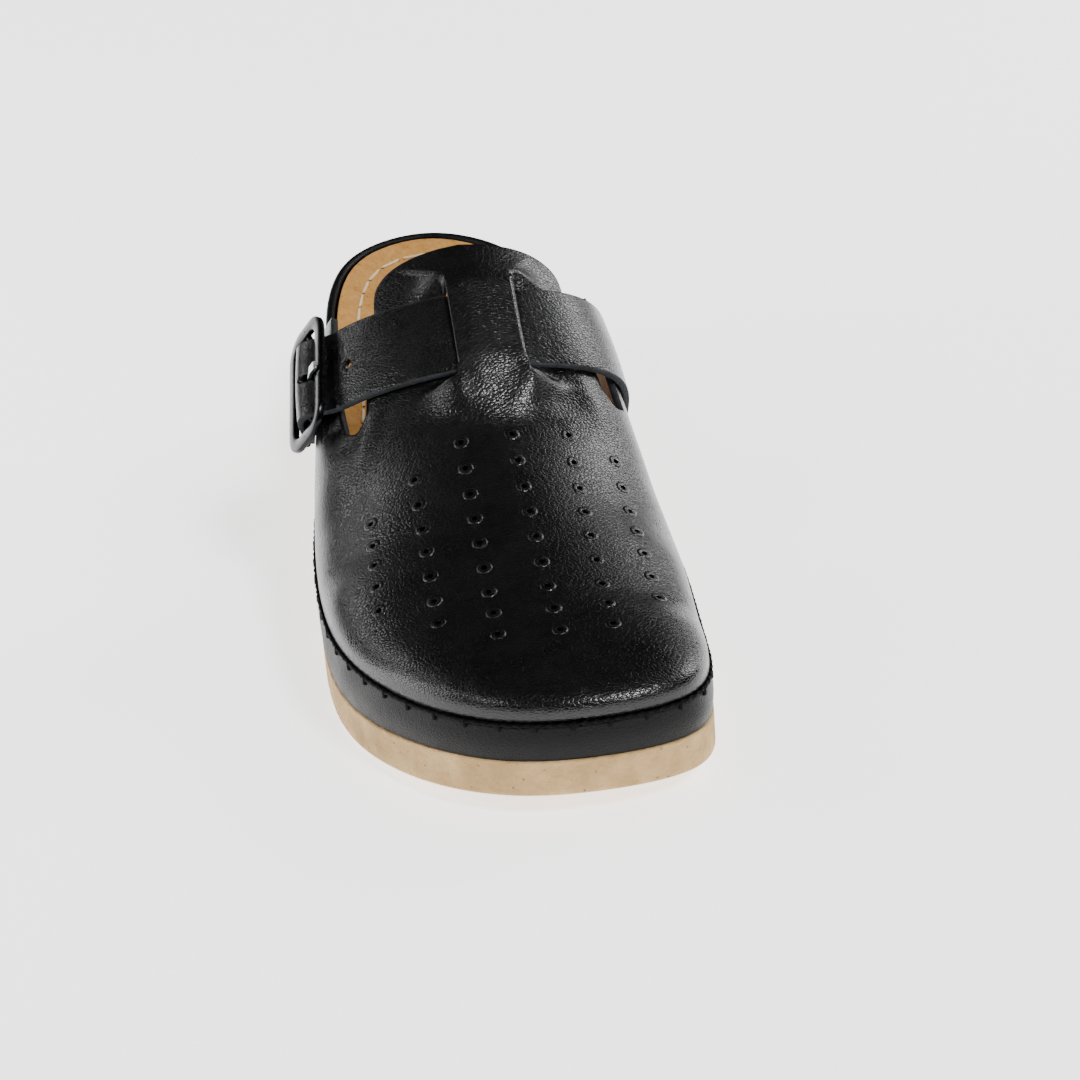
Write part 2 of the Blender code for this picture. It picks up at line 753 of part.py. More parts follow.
def add_wing(sheet, side, start_row, start_y, flip):
    """The side wing, from the notch back to its sloping rear edge."""
    head_y = float(y_of(WING_HEAD_AT[side]))
    foot_y = float(y_of(WING_FOOT_AT))
    down = np.linspace(0, 1, WALL_STEPS + 1)
    rear_y = head_y + (foot_y - head_y) * down ** WING_SWEEP
    last = start_row[WING_COLUMN:]
    for share in WING_ROWS:
        ys = start_y + (rear_y - start_y) * share
        top_y = start_y + (head_y - start_y) * share
        _, wing = cut_edges(top_y, side)
        top_angle = float(angle_of(wing, section_values(top_y, side)["round"]))
        angles = np.linspace(top_angle, 0, WALL_STEPS + 1)
        row = sheet.add_row(upper_point(ys, angles, side))
        sheet.join(last, row, range(WALL_STEPS), flip)
        last = row


def thicken(points, faces, thickness, flat_foot):
    """Close a sheet into a wall: an inner face along the normals, and a rim round every edge."""
    mesh = bpy.data.meshes.new("sheet")
    mesh.from_pydata(points, [], faces)
    work = bmesh.new()
    work.from_mesh(mesh)
    bmesh.ops.remove_doubles(work, verts=work.verts, dist=2e-3)
    bmesh.ops.dissolve_degenerate(work, edges=work.edges, dist=1e-3)
    work.verts.ensure_lookup_table()
    work.verts.index_update()
    work.normal_update()
    outer = np.array([v.co for v in work.verts])
    normal = np.array([v.normal for v in work.verts])
    on_seam = flat_foot(outer)
    normal[on_seam, 2] = 0
    normal /= np.linalg.norm(normal, axis=1)[:, None]
    inner = outer - normal * thickness
    count = len(outer)
    walls = [tuple(v.index for v in face.verts) for face in work.faces]
    solid = list(walls) + [tuple(count + i for i in reversed(face)) for face in walls]
    for edge in work.edges:
        if len(edge.link_faces) == 1:
            loop = edge.link_loops[0]
            a, b = loop.vert.index, loop.link_loop_next.vert.index
            solid.append((b, a, count + a, count + b))
    work.free()
    bpy.data.meshes.remove(mesh)
    return np.vstack([outer, inner]), solid


def build_upper():
    """The hollow upper: one leather wall with strap slots, side notches, tongue and wings."""
    sheet = Sheet()
    for side in ("lateral", "medial"):
        add_side(sheet, side)

    def at_seam(points):
        return np.abs(points[:, 2] - rim_z(points[:, 1]) - GAP) < 0.01

    points, faces = thicken(sheet.points, sheet.faces, LEATHER, at_seam)
    return make_object("upper", points, faces, "upper")


def strap_plane():
    """Direction across the strap, and the place of its middle line in that direction."""
    slope = math.radians(STRAP_SLOPE)
    across = np.array([0.0, math.cos(slope), math.sin(slope)])
    middle = upper_point(y_of(SLOT_MIDDLE_AT), math.pi / 2, "lateral")
    return across, float(across @ middle)


def point_on_strap(angle, side, offset):
    """The upper's point at a sweep angle that lies at an offset across the strap from its middle."""
    across, middle = strap_plane()
    low = np.full(np.shape(angle), y_of(BED_REACH[1]))
    high = np.full(np.shape(angle), y_of(BED_REACH[0]))
    for _ in range(BISECTIONS):
        y = (low + high) / 2
        short = upper_point(y, angle, side) @ across < middle + offset
        low, high = np.where(short, y, low), np.where(short, high, y)
    return upper_point(y, angle, side)


def strap_path(side):
    """Sweep angles down one side of the upper, with the distance of each from the crest."""
    angle = math.pi / 2 * np.linspace(1, 0.0, PATH_STEPS) ** PATH_CROWDING
    line = point_on_strap(angle, side, 0.0)
    steps = np.linalg.norm(np.diff(line, axis=0), axis=1)
    return np.concatenate([[0], np.cumsum(steps)]), angle


PATHS = {}


def strap_surface(along, offset, lift=0.0):
    """Points on the strap's bed: along from the crest (lateral above 0), offset across, and lift off."""
    if not PATHS:
        PATHS.update({side: strap_path(side) for side in MIRROR})
    along, offset, lift = np.broadcast_arrays(*(np.asarray(v, float) for v in (along, offset, lift)))
    points = np.zeros(along.shape + (3,))
    for side in MIRROR:
        mine = along >= 0 if side == "lateral" else along < 0
        distance, angle = PATHS[side]
        here = np.interp(np.abs(along[mine]), distance, angle)
        spot = point_on_strap(here, side, offset[mine])
        across = offset[mine]
        inward = point_on_strap(np.minimum(here + NEAR_ANGLE, math.pi / 2), side, across)
        outward = point_on_strap(np.maximum(here - NEAR_ANGLE, 0.0), side, across)
        over = point_on_strap(here, side, across + NEAR) - point_on_strap(here, side, across - NEAR)
        normal = np.cross(outward - inward, over) * MIRROR[side]
        normal /= np.linalg.norm(normal, axis=1)[:, None]
        points[mine] = spot + normal * lift[mine][:, None]
    return points


def strap_lift(along):
    """Height of the strap's underside off its bed: a dip under the bridge, a hump over the bar."""
    from_middle = np.abs(along + BRIDGE_SHIFT)
    under = 1 - ease((from_middle - BRIDGE_WIDTH / 2) / DIP_RUN + 1)
    past = np.asarray(along) - BUCKLE_RUN
    over_tab = GAP + (TAB_THICKNESS + GAP) * ease((past + TAB_RAMP[0]) / sum(TAB_RAMP))
    hump = (hump_height() - over_tab) * np.exp(-((past / HUMP_SPREAD) ** 2))
    return over_tab + hump - under * STRAP_DIP


def bar_lift():
    """Height of the centre bar's axis over the wing: the tab passes under it."""
    return GAP + TAB_THICKNESS + GAP + BAR_RADIUS


def hump_height():
    """Height of the strap's underside where it rides over the bar and the prong's eye."""
    return bar_lift() + BAR_RADIUS + PRONG_THICKNESS + 3 * GAP


def frame_lift():
    """Height of the frame's middle plane over the wing: the strap passes under its bars."""
    return 2 * GAP + STRAP_THICKNESS + FRAME_PLAY + FRAME_THICKNESS / 2


def sheet_solid(name, low, high, finish):
    """A closed sheet from two grids of points, its underside and its face."""
    rows, columns = low.shape[:2]
    count = rows * columns
    points = np.vstack([low.reshape(-1, 3), high.reshape(-1, 3)])

    def at(row, column, face):
        return face * count + row * columns + column

    faces = []
    for row in range(rows - 1):
        for column in range(columns - 1):
            corners = ((row, column), (row + 1, column), (row + 1, column + 1), (row, column + 1))
            faces.append(tuple(at(*corner, 1) for corner in corners))
            faces.append(tuple(at(*corner, 0) for corner in corners[::-1]))
        faces.append((at(row, 0, 0), at(row + 1, 0, 0), at(row + 1, 0, 1), at(row, 0, 1)))
        last = columns - 1
        faces.append((at(row, last, 1), at(row + 1, last, 1), at(row + 1, last, 0), at(row, last, 0)))
    for column in range(columns - 1):
        beside = column + 1
        faces.append((at(0, column, 1), at(0, beside, 1), at(0, beside, 0), at(0, column, 0)))
        end = rows - 1
        faces.append((at(end, column, 0), at(end, beside, 0), at(end, beside, 1), at(end, column, 1)))
    return make_object(name, points, faces, finish)


def strap_grid():
    """Distances along and offsets across the strap for its grid, with a rounded tail."""
    along = np.linspace(-STRAP_RUN["medial"], STRAP_RUN["lateral"], STRAP_STATIONS)
    to_end = np.clip((STRAP_RUN["lateral"] - along) / TAIL_ROUND, 0, 1)
    half = STRAP_WIDTH / 2 - TAIL_ROUND + TAIL_ROUND * np.sqrt(1 - (1 - to_end) ** 2)
    across = np.linspace(-1, 1, STRAP_COLUMNS)
    return np.broadcast_arrays(along[:, None], half[:, None] * across[None, :])


def build_strap():
    """The instep strap, from the medial wing under the bridge to its tail past the buckle."""
    along, offset = strap_grid()
    lift = strap_lift(along)
    low = strap_surface(along, offset, lift)
    high = strap_surface(along, offset, lift + STRAP_THICKNESS)
    strap = sheet_solid("strap", low, high, "strap")
    prong_hole = BUCKLE_RUN - PRONG_REACH / 4
    for name, place, length in (
        ("prong_hole_cutter", prong_hole, 2 * STRAP_HOLE),
        ("spare_hole_cutter", prong_hole - HOLE_PITCH, STRAP_HOLE),
    ):
        cut = strap.modifiers.new(name, "BOOLEAN")
        cut.object = build_hole_cutter(name, place, length)
        cut.operation = "DIFFERENCE"
        cut.solver = "EXACT"
    return strap


def build_hole_cutter(name, place, length):
    """An upright oval prism through the strap at a distance along it."""
    origin, frame = strap_frame(place)
    angle = np.linspace(0, 2 * math.pi, BAR_SIDES, endpoint=False)
    straight = (length - STRAP_HOLE) / 2
    u = np.cos(angle) * STRAP_HOLE / 2 + np.sign(np.cos(angle)) * straight
    v = np.sin(angle) * STRAP_HOLE / 2
    points = []
    for lift in (-LEATHER, hump_height() + 2 * STRAP_THICKNESS):
        points += [tuple(origin + frame @ np.array([a, b, lift])) for a, b in zip(u, v)]
    faces = [tuple(range(BAR_SIDES))[::-1], tuple(range(BAR_SIDES, 2 * BAR_SIDES))]
    faces += band_faces(0, BAR_SIDES, BAR_SIDES)
    cutter = make_object(name, points, faces)
    cutter.hide_render = True
    cutter.display_type = "WIRE"
    return cutter


def strap_frame(along):
    """Origin on the strap's bed and its axes as columns: along towards the tail, across, outward."""
    origin = strap_surface(along, 0.0)
    outward = strap_surface(along, 0.0, 1.0) - origin
    across = strap_surface(along, STRAP_WIDTH / 6) - strap_surface(along, -STRAP_WIDTH / 6)
    across -= outward * (across @ outward)
    across /= np.linalg.norm(across)
    return origin, np.column_stack([np.cross(outward, across), across, outward])


BUCKLE_ORIGIN, BUCKLE_AXES = strap_frame(BUCKLE_RUN)


def place_at_buckle(points):
    """Points given as along, across and outward from the buckle's seat, in the shoe's frame."""
    return BUCKLE_ORIGIN + np.asarray(points) @ BUCKLE_AXES.T


def rounded_loop(length, width, radius):
    """A rounded rectangle's points, the long way along the second axis."""
    turn = np.linspace(0, math.pi / 2, CORNER_STEPS)
    points = []
    for quarter, (sign_u, sign_v) in enumerate(((1, 1), (-1, 1), (-1, -1), (1, -1))):
        angle = turn + quarter * math.pi / 2
        u = sign_u * (width / 2 - radius) + radius * np.cos(angle)
        v = sign_v * (length / 2 - radius) + radius * np.sin(angle)
        points += list(zip(u, v))
    return np.array(points)


def tube(name, rings, finish, closed):
    """A body from rings of equal count along a path, joined round or capped at its two ends."""
    count = len(rings[0])
    points = np.vstack(rings)
    faces = []
    for level in range(len(rings) - (0 if closed else 1)):
        faces += band_faces(level * count, (level + 1) % len(rings) * count, count)
    if not closed:
        faces.append(tuple(range(count))[::-1])
        faces.append(tuple(range((len(rings) - 1) * count, len(rings) * count)))
    return make_object(name, points, faces, finish)


def build_buckle_frame():
    """The flat ribbon frame with rounded corners, and the bowed centre bar across it."""
    half, edge = FRAME_THICKNESS / 2, FRAME_EDGE
    rings = []
    outer = ((edge, half), (0, half - edge), (0, edge - half), (edge, -half))
    inner = tuple((FRAME_BAND - inset, -lift) for inset, lift in outer)
    for inset, lift in outer + inner:
        loop = rounded_loop(FRAME_LENGTH - 2 * inset, FRAME_WIDTH - 2 * inset, FRAME_CORNER - inset)
        rings.append(np.column_stack([loop, np.full(len(loop), frame_lift() + lift)]))
    frame = tube("buckle_frame", [place_at_buckle(ring) for ring in rings], "buckle_frame", True)
    union = frame.modifiers.new("centre_bar", "BOOLEAN")
    union.object = build_centre_bar()
    union.operation = "UNION"
    union.solver = "EXACT"
    return frame


def build_centre_bar():
    """The bar under the strap, whose ends rise into the frame's short sides."""
    reach = FRAME_LENGTH / 2 - FRAME_BAND / 2
    flat = STRAP_WIDTH / 2 + GAP
    left = np.linspace(-reach, -flat, BAR_STEPS)
    v = np.concatenate([left, -left[::-1]])
    lift = bar_lift() + (frame_lift() - bar_lift()) * ease((np.abs(v) - flat) / (reach - flat))
    angle = np.linspace(0, 2 * math.pi, BAR_SIDES, endpoint=False)
    rings = [
        np.column_stack([np.cos(angle) * BAR_RADIUS, np.full(BAR_SIDES, a), b + np.sin(angle) * BAR_RADIUS])
        for a, b in zip(v, lift)
    ]
    bar = tube("centre_bar_guide", [place_at_buckle(ring) for ring in rings], None, False)
    bar.hide_render = True
    bar.display_type = "WIRE"
    return bar


def build_buckle_prong():
    """The prong: an eye round the centre bar, then a tongue through the strap onto the front bar."""
    radius = BAR_RADIUS + GAP + PRONG_THICKNESS / 2
    turn = np.radians(np.linspace(*PRONG_TURN, EYE_STEPS))
    path = [(radius * math.cos(t), bar_lift() + radius * math.sin(t)) for t in turn]
    rest = frame_lift() + FRAME_THICKNESS / 2 + GAP + PRONG_THICKNESS / 2
    path += [(-share * PRONG_REACH, rest - drop) for share, drop in PRONG_PATH]
    path = np.array(path)
    along = np.gradient(path, axis=0)
    along /= np.linalg.norm(along, axis=1)[:, None]
    aside = np.column_stack([-along[:, 1], along[:, 0]]) * PRONG_THICKNESS / 2
    half = PRONG_WIDTH / 2
    rings = []
    for spot, out in zip(path, aside):
        inner, outer = spot - out, spot + out
        corners = ((inner, -half), (inner, half), (outer, half), (outer, -half))
        rings.append(place_at_buckle([(c[0], v, c[1]) for c, v in corners]))
    return tube("buckle_prong", rings, "buckle_prong", False)


def build_buckle_tab():
    """The leather tab: folded round the centre bar, slit for the prong, its tail on the wing."""
    inner = BAR_RADIUS + GAP
    outer = inner + TAB_THICKNESS
    turn = np.radians(np.linspace(*TAB_TURN, EYE_STEPS + 2))
    hook = [(math.cos(t), math.sin(t)) for t in turn]
    tail = np.array(TAB_TAIL) * TAB_LENGTH
    face = [(outer * c, bar_lift() + outer * s) for c, s in hook] + [(u, GAP) for u in tail]
    back = [(inner * c, bar_lift() + inner * s) for c, s in hook]
    back += [(u, GAP + TAB_THICKNESS) for u in tail]
    v = np.linspace(-TAB_WIDTH / 2, TAB_WIDTH / 2, 7)[None, :]
    low, high = (on_wing(*(column[:, None] for column in np.array(line).T), v) for line in (back, face))
    tab = sheet_solid("buckle_tab", low, high, "buckle_tab")
    slit = build_slit_cutter(outer)
    cut = tab.modifiers.new("slit", "BOOLEAN")
    cut.object = slit
    cut.operation = "DIFFERENCE"
    cut.solver = "EXACT"
    return tab


def on_wing(u, lift, v):
    """Points near the buckle: straight at the bar, and bent to the wing's face along the tail."""
    u, lift, v = np.broadcast_arrays(u, lift, v)
    rigid = place_at_buckle(np.stack([u, v, lift], axis=-1))
    bent = strap_surface(BUCKLE_RUN + u, v, lift)
    share = ease((np.abs(u) - BAR_RADIUS) / TAB_BEND)[..., None]
    return rigid * (1 - share) + bent * share


def build_slit_cutter(outer):
    """A block that parts the tab's fold in the middle, where the prong's eye sits."""
    half = PRONG_WIDTH / 2 + GAP
    reach = outer + 2 * GAP
    low, high = -GAP, bar_lift() + outer + GAP
    square = ((-reach, -half), (reach, -half), (reach, half), (-reach, half))
    corners = [(u, v, w) for w in (low, high) for u, v in square]
    faces = [(3, 2, 1, 0), (4, 5, 6, 7)] + band_faces(0, 4, 4)
    cutter = make_object("slit_cutter", place_at_buckle(corners), faces)
    cutter.hide_render = True
    cutter.display_type = "WIRE"
    return cutter


def main():
    """Build every piece."""
    clear_scene()
    build_outsole()
    build_footbed_band()
    build_insole()
    build_upper()
    build_strap()
    build_buckle_frame()
    build_buckle_prong()
    build_buckle_tab()


main()
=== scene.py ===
"""Chef clog, right shoe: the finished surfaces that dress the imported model.

The toe points to -Y, the heel to +Y, +X is the inner (medial) side, +Z is up. The origin is the
middle of the heel's flat tread, on the floor. Sizes are in millimetres until a mesh is made.
"""
import logging
import math
from dataclasses import dataclass, field
from enum import Enum

import bmesh
import bpy
import numpy as np
from mathutils import Matrix, Vector
from mathutils.bvhtree import BVHTree


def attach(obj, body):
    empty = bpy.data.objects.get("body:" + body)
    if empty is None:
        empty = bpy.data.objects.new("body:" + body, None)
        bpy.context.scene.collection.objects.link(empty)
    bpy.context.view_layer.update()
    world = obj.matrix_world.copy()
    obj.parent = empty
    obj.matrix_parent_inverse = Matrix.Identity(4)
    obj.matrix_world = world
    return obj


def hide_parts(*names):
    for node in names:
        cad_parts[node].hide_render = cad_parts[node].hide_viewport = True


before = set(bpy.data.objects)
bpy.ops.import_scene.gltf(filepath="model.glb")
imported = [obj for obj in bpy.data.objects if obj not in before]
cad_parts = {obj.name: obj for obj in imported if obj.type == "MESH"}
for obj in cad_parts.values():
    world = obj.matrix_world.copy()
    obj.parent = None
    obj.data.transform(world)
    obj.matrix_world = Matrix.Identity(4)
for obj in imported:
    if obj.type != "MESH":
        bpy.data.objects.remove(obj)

Array = np.ndarray
Table = tuple[tuple[float, ...], ...]
Faces = list[Array]
MM = 0.001
JOIN_MM = 0.003
SLIVER_MM = 0.001
LOG = logging.getLogger("clog")
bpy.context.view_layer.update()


class Side(Enum):
    """The two sides of the shoe, each with its sign along X."""

    LATERAL = -1.0
    MEDIAL = 1.0


class Slot(Enum):
    """The record's material slots."""

    FOAM = "sole_foam"
    WRAP = "wrap_leather"
    SOCK = "sock_leather"
    UPPER = "upper_leather"
    BUCKLE = "buckle_metal"
    PRONG = "prong_metal"


def to_linear(hex_colour: str) -> tuple[float, float, float, float]:
    """Turn an sRGB hex colour into linear light.

    Args:
        hex_colour: six hex digits after a hash.

    Returns:
        Red, green, blue and an alpha of one.
    """
    parts = [int(hex_colour[i:i + 2], 16) / 255 for i in (1, 3, 5)]
    linear = [c / 12.92 if c <= 0.04045 else ((c + 0.055) / 1.055) ** 2.4 for c in parts]
    return (linear[0], linear[1], linear[2], 1.0)


def ease(t: Array) -> Array:
    """A smooth step from 0 to 1: three times the square less twice the cube."""
    t = np.clip(t, 0, 1)
    return t * t * (3 - 2 * t)


def read_table(table: Table, column: int, at: Array) -> Array:
    """Read a column of a section table with a cubic curve that never overshoots its rows.

    Each span is a Hermite cubic. The slope at a row is the harmonic mean of its two spans' slopes,
    or level where they differ in sign.

    Args:
        table: rows that start with their place along the shoe.
        column: the column to read.
        at: places to read it at, of any shape.

    Returns:
        The column's values, in the shape of the places.
    """
    rows = np.array(table)
    x, y = rows[:, 0], rows[:, column]
    step = np.diff(x)
    slope = np.diff(y) / step
    same = slope[:-1] * slope[1:] > 0
    mean = 2 * slope[:-1] * slope[1:] / np.where(same, slope[:-1] + slope[1:], 1.0)
    tangent = np.concatenate([slope[:1], np.where(same, mean, 0.0), slope[-1:]])
    at = np.clip(np.asarray(at, float), x[0], x[-1])
    low = np.clip(np.searchsorted(x, at) - 1, 0, len(x) - 2)
    h = step[low]
    t = (at - x[low]) / h
    return (
        y[low] * (1 + 2 * t) * (1 - t) ** 2 + tangent[low] * h * t * (1 - t) ** 2
        + y[low + 1] * t * t * (3 - 2 * t) + tangent[low + 1] * h * t * t * (t - 1)
    )


def closed_curve(points: Array, per_span: int = 24) -> Array:
    """A smooth closed curve through points, as a periodic cubic spline.

    The second derivatives solve the usual ring of equations, one for each point.

    Args:
        points: the plan points in order.
        per_span: how many points each span gets.

    Returns:
        The curve's points, without a repeat of the first.
    """
    p = np.asarray(points, float)
    count = len(p)
    after = np.roll(p, -1, axis=0)
    chord = np.linalg.norm(after - p, axis=1)
    before = np.roll(chord, 1)
    index = np.arange(count)
    system = np.zeros((count, count))
    system[index, index] = 2 * (before + chord)
    system[index, (index - 1) % count] = before
    system[index, (index + 1) % count] = chord
    rise = (after - p) / chord[:, None]
    bend = np.linalg.solve(system, 6 * (rise - np.roll(rise, 1, axis=0)))
    t = np.linspace(0, 1, per_span, endpoint=False)[None, :, None]
    h = chord[:, None, None]
    m0, m1 = bend[:, None], np.roll(bend, -1, axis=0)[:, None]
    pull = m0 * ((1 - t) - (1 - t) ** 3) + m1 * (t - t ** 3)
    return (p[:, None] * (1 - t) + after[:, None] * t - h * h / 6 * pull).reshape(-1, 2)


@dataclass(frozen=True)
class Last:
    """The last and the heights built round it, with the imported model's own sizes and tables."""

    length: float = 262.0
    ball_width: float = 90.0
    instep_height: float = 88.2
    rim_height: float = 46.0
    toe_seam_height: float = 25.4
    toe_spring: float = 6.8
    arch_rise: float = 3.5
    heel_wall: float = 27.0
    fore_wall: float = 10.2
    tread_middle: float = 0.145
    gap: float = 0.3
    upper_inset: float = 0.5
    fan_at: float = 0.836
    outline: Table = (
        (0.00, 0.000), (-0.211, 0.026), (-0.339, 0.113), (-0.383, 0.220), (-0.412, 0.379),
        (-0.490, 0.533), (-0.529, 0.680), (-0.497, 0.806), (-0.361, 0.910), (-0.121, 0.984),
        (0.133, 1.000), (0.378, 0.975), (0.459, 0.864), (0.472, 0.741), (0.439, 0.580),
        (0.387, 0.400), (0.367, 0.240), (0.311, 0.116), (0.194, 0.040),
    )
    sole_sections: Table = (
        # at, lift, arch, wedge, rim, cup
        (0.00, 0.00, 0.00, 1.00, 1.000, 1.00),
        (0.10, 0.00, 0.00, 0.98, 0.930, 1.00),
        (0.20, 0.00, 0.00, 0.93, 0.830, 0.98),
        (0.30, 0.00, 0.25, 0.82, 0.735, 0.95),
        (0.40, 0.00, 1.00, 0.62, 0.600, 0.90),
        (0.50, 0.00, 0.70, 0.30, 0.300, 0.75),
        (0.60, 0.00, 0.00, 0.06, 0.065, 0.60),
        (0.73, 0.00, 0.00, 0.01, -0.050, 0.55),
        (0.80, 0.10, 0.00, 0.00, -0.085, 0.55),
        (0.90, 0.46, 0.00, 0.00, -0.075, 0.55),
        (1.00, 1.00, 0.00, -0.05, 0.000, 0.50),
    )
    upper_sections: Table = (
        # at, top, crest, lateral round, lateral fall, medial round, medial fall
        (0.405, 1.075, 0.000, 4.0, 0.22, 4.0, 0.19),
        (0.460, 1.000, 0.000, 4.0, 0.22, 4.0, 0.19),
        (0.500, 0.918, 0.000, 3.8, 0.24, 4.1, 0.19),
        (0.546, 0.825, 0.000, 3.4, 0.28, 4.0, 0.22),
        (0.592, 0.732, 0.000, 3.1, 0.34, 3.8, 0.26),
        (0.653, 0.637, 0.005, 3.0, 0.46, 3.2, 0.38),
        (0.714, 0.562, 0.012, 3.1, 0.46, 2.9, 0.42),
        (0.775, 0.500, 0.022, 3.4, 0.36, 2.9, 0.34),
        (0.836, 0.444, 0.034, 3.4, 0.36, 2.9, 0.34),
        (0.901, 0.412, 0.045, 4.0, 0.20, 3.6, 0.20),
        (1.000, 0.392, 0.050, 4.2, 0.06, 4.2, 0.06),
    )
    plan: Array = field(init=False)
    seams: dict[Side, Array] = field(init=False)

    def __post_init__(self) -> None:
        """Work out the plan outline and the upper's two seam lines."""
        spots = [(x * self.ball_width, self.y_of(s)) for x, s in self.outline]
        object.__setattr__(self, "plan", closed_curve(np.array(spots)))
        object.__setattr__(self, "seams", self.chains(self.upper_inset))

    def y_of(self, share: Array) -> Array:
        """The y at a share of the length from the heel."""
        return self.length * (self.tread_middle - np.asarray(share))

    def share_of(self, y: Array) -> Array:
        """The share of the length from the heel at a y."""
        return self.tread_middle - np.asarray(y) / self.length

    def inset(self, distance: float) -> Array:
        """The plan outline moved inwards by a distance, along its own normals.

        Args:
            distance: how far inwards.

        Returns:
            As many plan points as the outline has.
        """
        along = np.roll(self.plan, -1, axis=0) - np.roll(self.plan, 1, axis=0)
        along /= np.linalg.norm(along, axis=1)[:, None]
        inward = np.stack([-along[:, 1], along[:, 0]], axis=1)
        inward *= np.sign(np.sum(inward * (self.plan.mean(axis=0) - self.plan)))
        return self.plan + inward * distance

    def chains(self, distance: float) -> dict[Side, Array]:
        """The inset outline's two sides, each from the toe tip to the heel tip.

        Args:
            distance: the inset.

        Returns:
            The plan points of each side.
        """
        curve = self.inset(distance)
        toe, heel = int(np.argmin(curve[:, 1])), int(np.argmax(curve[:, 1]))
        rolled = np.roll(curve, -toe, axis=0)
        cut = (heel - toe) % len(curve)
        one, other = rolled[:cut + 1], np.vstack([rolled[cut:], rolled[:1]])[::-1]
        if one[:, 0].mean() > other[:, 0].mean():
            one, other = other, one
        return {Side.LATERAL: one, Side.MEDIAL: other}

    def ring(self, distance: float, count: int = 256) -> Array:
        """Plan points round an inset: toe tip, lateral side, heel tip, medial side.

        The points' ys follow a cosine from toe to heel, so they crowd at the two tips.

        Args:
            distance: the inset.
            count: how many points.

        Returns:
            Plan points of shape count, 2.
        """
        sides = self.chains(distance)
        lateral, medial = sides[Side.LATERAL], sides[Side.MEDIAL]
        turn = np.cos(np.linspace(0, math.pi, count // 2 + 1))
        toe, heel = lateral[0, 1], lateral[-1, 1]
        y = (toe + heel) / 2 - turn * (heel - toe) / 2
        left = np.stack([np.interp(y, lateral[:, 1], lateral[:, 0]), y], axis=1)
        right = np.stack([np.interp(y, medial[:, 1], medial[:, 0]), y], axis=1)
        return np.vstack([left, right[-2:0:-1]])

    def floor_z(self, y: Array) -> Array:
        """Underside of the sole: toe spring and arch over the floor.

        Args:
            y: places along the shoe.

        Returns:
            The heights there.
        """
        s = self.share_of(y)
        lift = read_table(self.sole_sections, 1, s) * self.toe_spring
        return lift + read_table(self.sole_sections, 2, s) * self.arch_rise

    def wall_z(self, y: Array) -> Array:
        """Top of the foamed sole's side.

        Args:
            y: places along the shoe.

        Returns:
            The heights there.
        """
        s = self.share_of(y)
        lift = read_table(self.sole_sections, 1, s) * self.toe_spring
        wedge = read_table(self.sole_sections, 3, s)
        return lift + self.fore_wall + wedge * (self.heel_wall - self.fore_wall)

    def rim_z(self, y: Array) -> Array:
        """Top edge of the wrapped footbed, which is the upper's seam line."""
        share = read_table(self.sole_sections, 4, self.share_of(y))
        return self.toe_seam_height + share * (self.rim_height - self.toe_seam_height)

    def section(self, y: Array, side: Side) -> dict[str, Array]:
        """The upper's section values at each y, on one side.

        Args:
            y: places along the shoe.
            side: which side of the shoe.

        Returns:
            By name: the crest's height and x, the roundness, the fall, and the seam's x and height.
        """
        s = self.share_of(y)
        first = 3 if side is Side.LATERAL else 5
        chain = self.seams[side]
        return {
            "top": read_table(self.upper_sections, 1, s) * self.instep_height,
            "crest": read_table(self.upper_sections, 2, s) * self.ball_width,
            "round": read_table(self.upper_sections, first, s),
            "fall": read_table(self.upper_sections, first + 1, s),
            "seam_x": np.interp(y, chain[:, 1], chain[:, 0]),
            "seam_z": self.rim_z(y) + self.gap,
        }

    def point(self, y: Array, angle: Array, side: Side) -> Array:
        """A point of the upper's face: a superellipse from the seam (angle 0) up to the crest.

        The way out is the cosine, and the height the sine, each to the power of two over the
        section's roundness. The height also falls with the way out to the power of one and a half.

        Args:
            y: places along the shoe.
            angle: sweep angles in radians.
            side: which side of the shoe.

        Returns:
            Points, with a last axis of 3.
        """
        v = self.section(y, side)
        out = np.maximum(np.cos(angle), 0) ** (2 / v["round"])
        rise = np.maximum(np.sin(angle), 0) ** (2 / v["round"])
        up = (1 - v["fall"] * out ** 1.5) * rise
        x = v["crest"] + (v["seam_x"] - v["crest"]) * out
        z = v["seam_z"] + (v["top"] - v["seam_z"]) * up
        return np.stack(np.broadcast_arrays(x, y, z), axis=-1)

    def toe_point(self, edge_y: Array, out: Array, side: Side) -> Array:
        """A point of the toe cap, whose sections fan round the front end of the crest.

        Each section leaves the crest's end with the crest's own slope, and reaches its own height
        with the square of the way out.

        Args:
            edge_y: the y at which each section meets the seam.
            out: shares of the way out from the crest's end.
            side: which side of the shoe.

        Returns:
            Points, with a last axis of 3.
        """
        hub_y = float(self.y_of(self.fan_at))
        v = self.section(edge_y, side)
        ahead, at_hub, behind = self.section(hub_y + np.array([-1.0, 0.0, 1.0]), side)["top"]
        hub = float(self.section(np.array(hub_y), side)["crest"])
        angle = np.arccos(np.clip(out, 0, 1) ** (v["round"] / 2))
        up = (1 - v["fall"] * out ** 1.5) * np.maximum(np.sin(angle), 0) ** (2 / v["round"])
        x = hub + (v["seam_x"] - hub) * out
        y = hub_y + (edge_y - hub_y) * out
        slope = (edge_y - hub_y) * (behind - ahead) / 2
        top = at_hub + slope * out + (v["top"] - at_hub - slope) * out ** 2
        z = v["seam_z"] + (top - v["seam_z"]) * up
        return np.stack(np.broadcast_arrays(x, y, z), axis=-1)


LAST = Last()


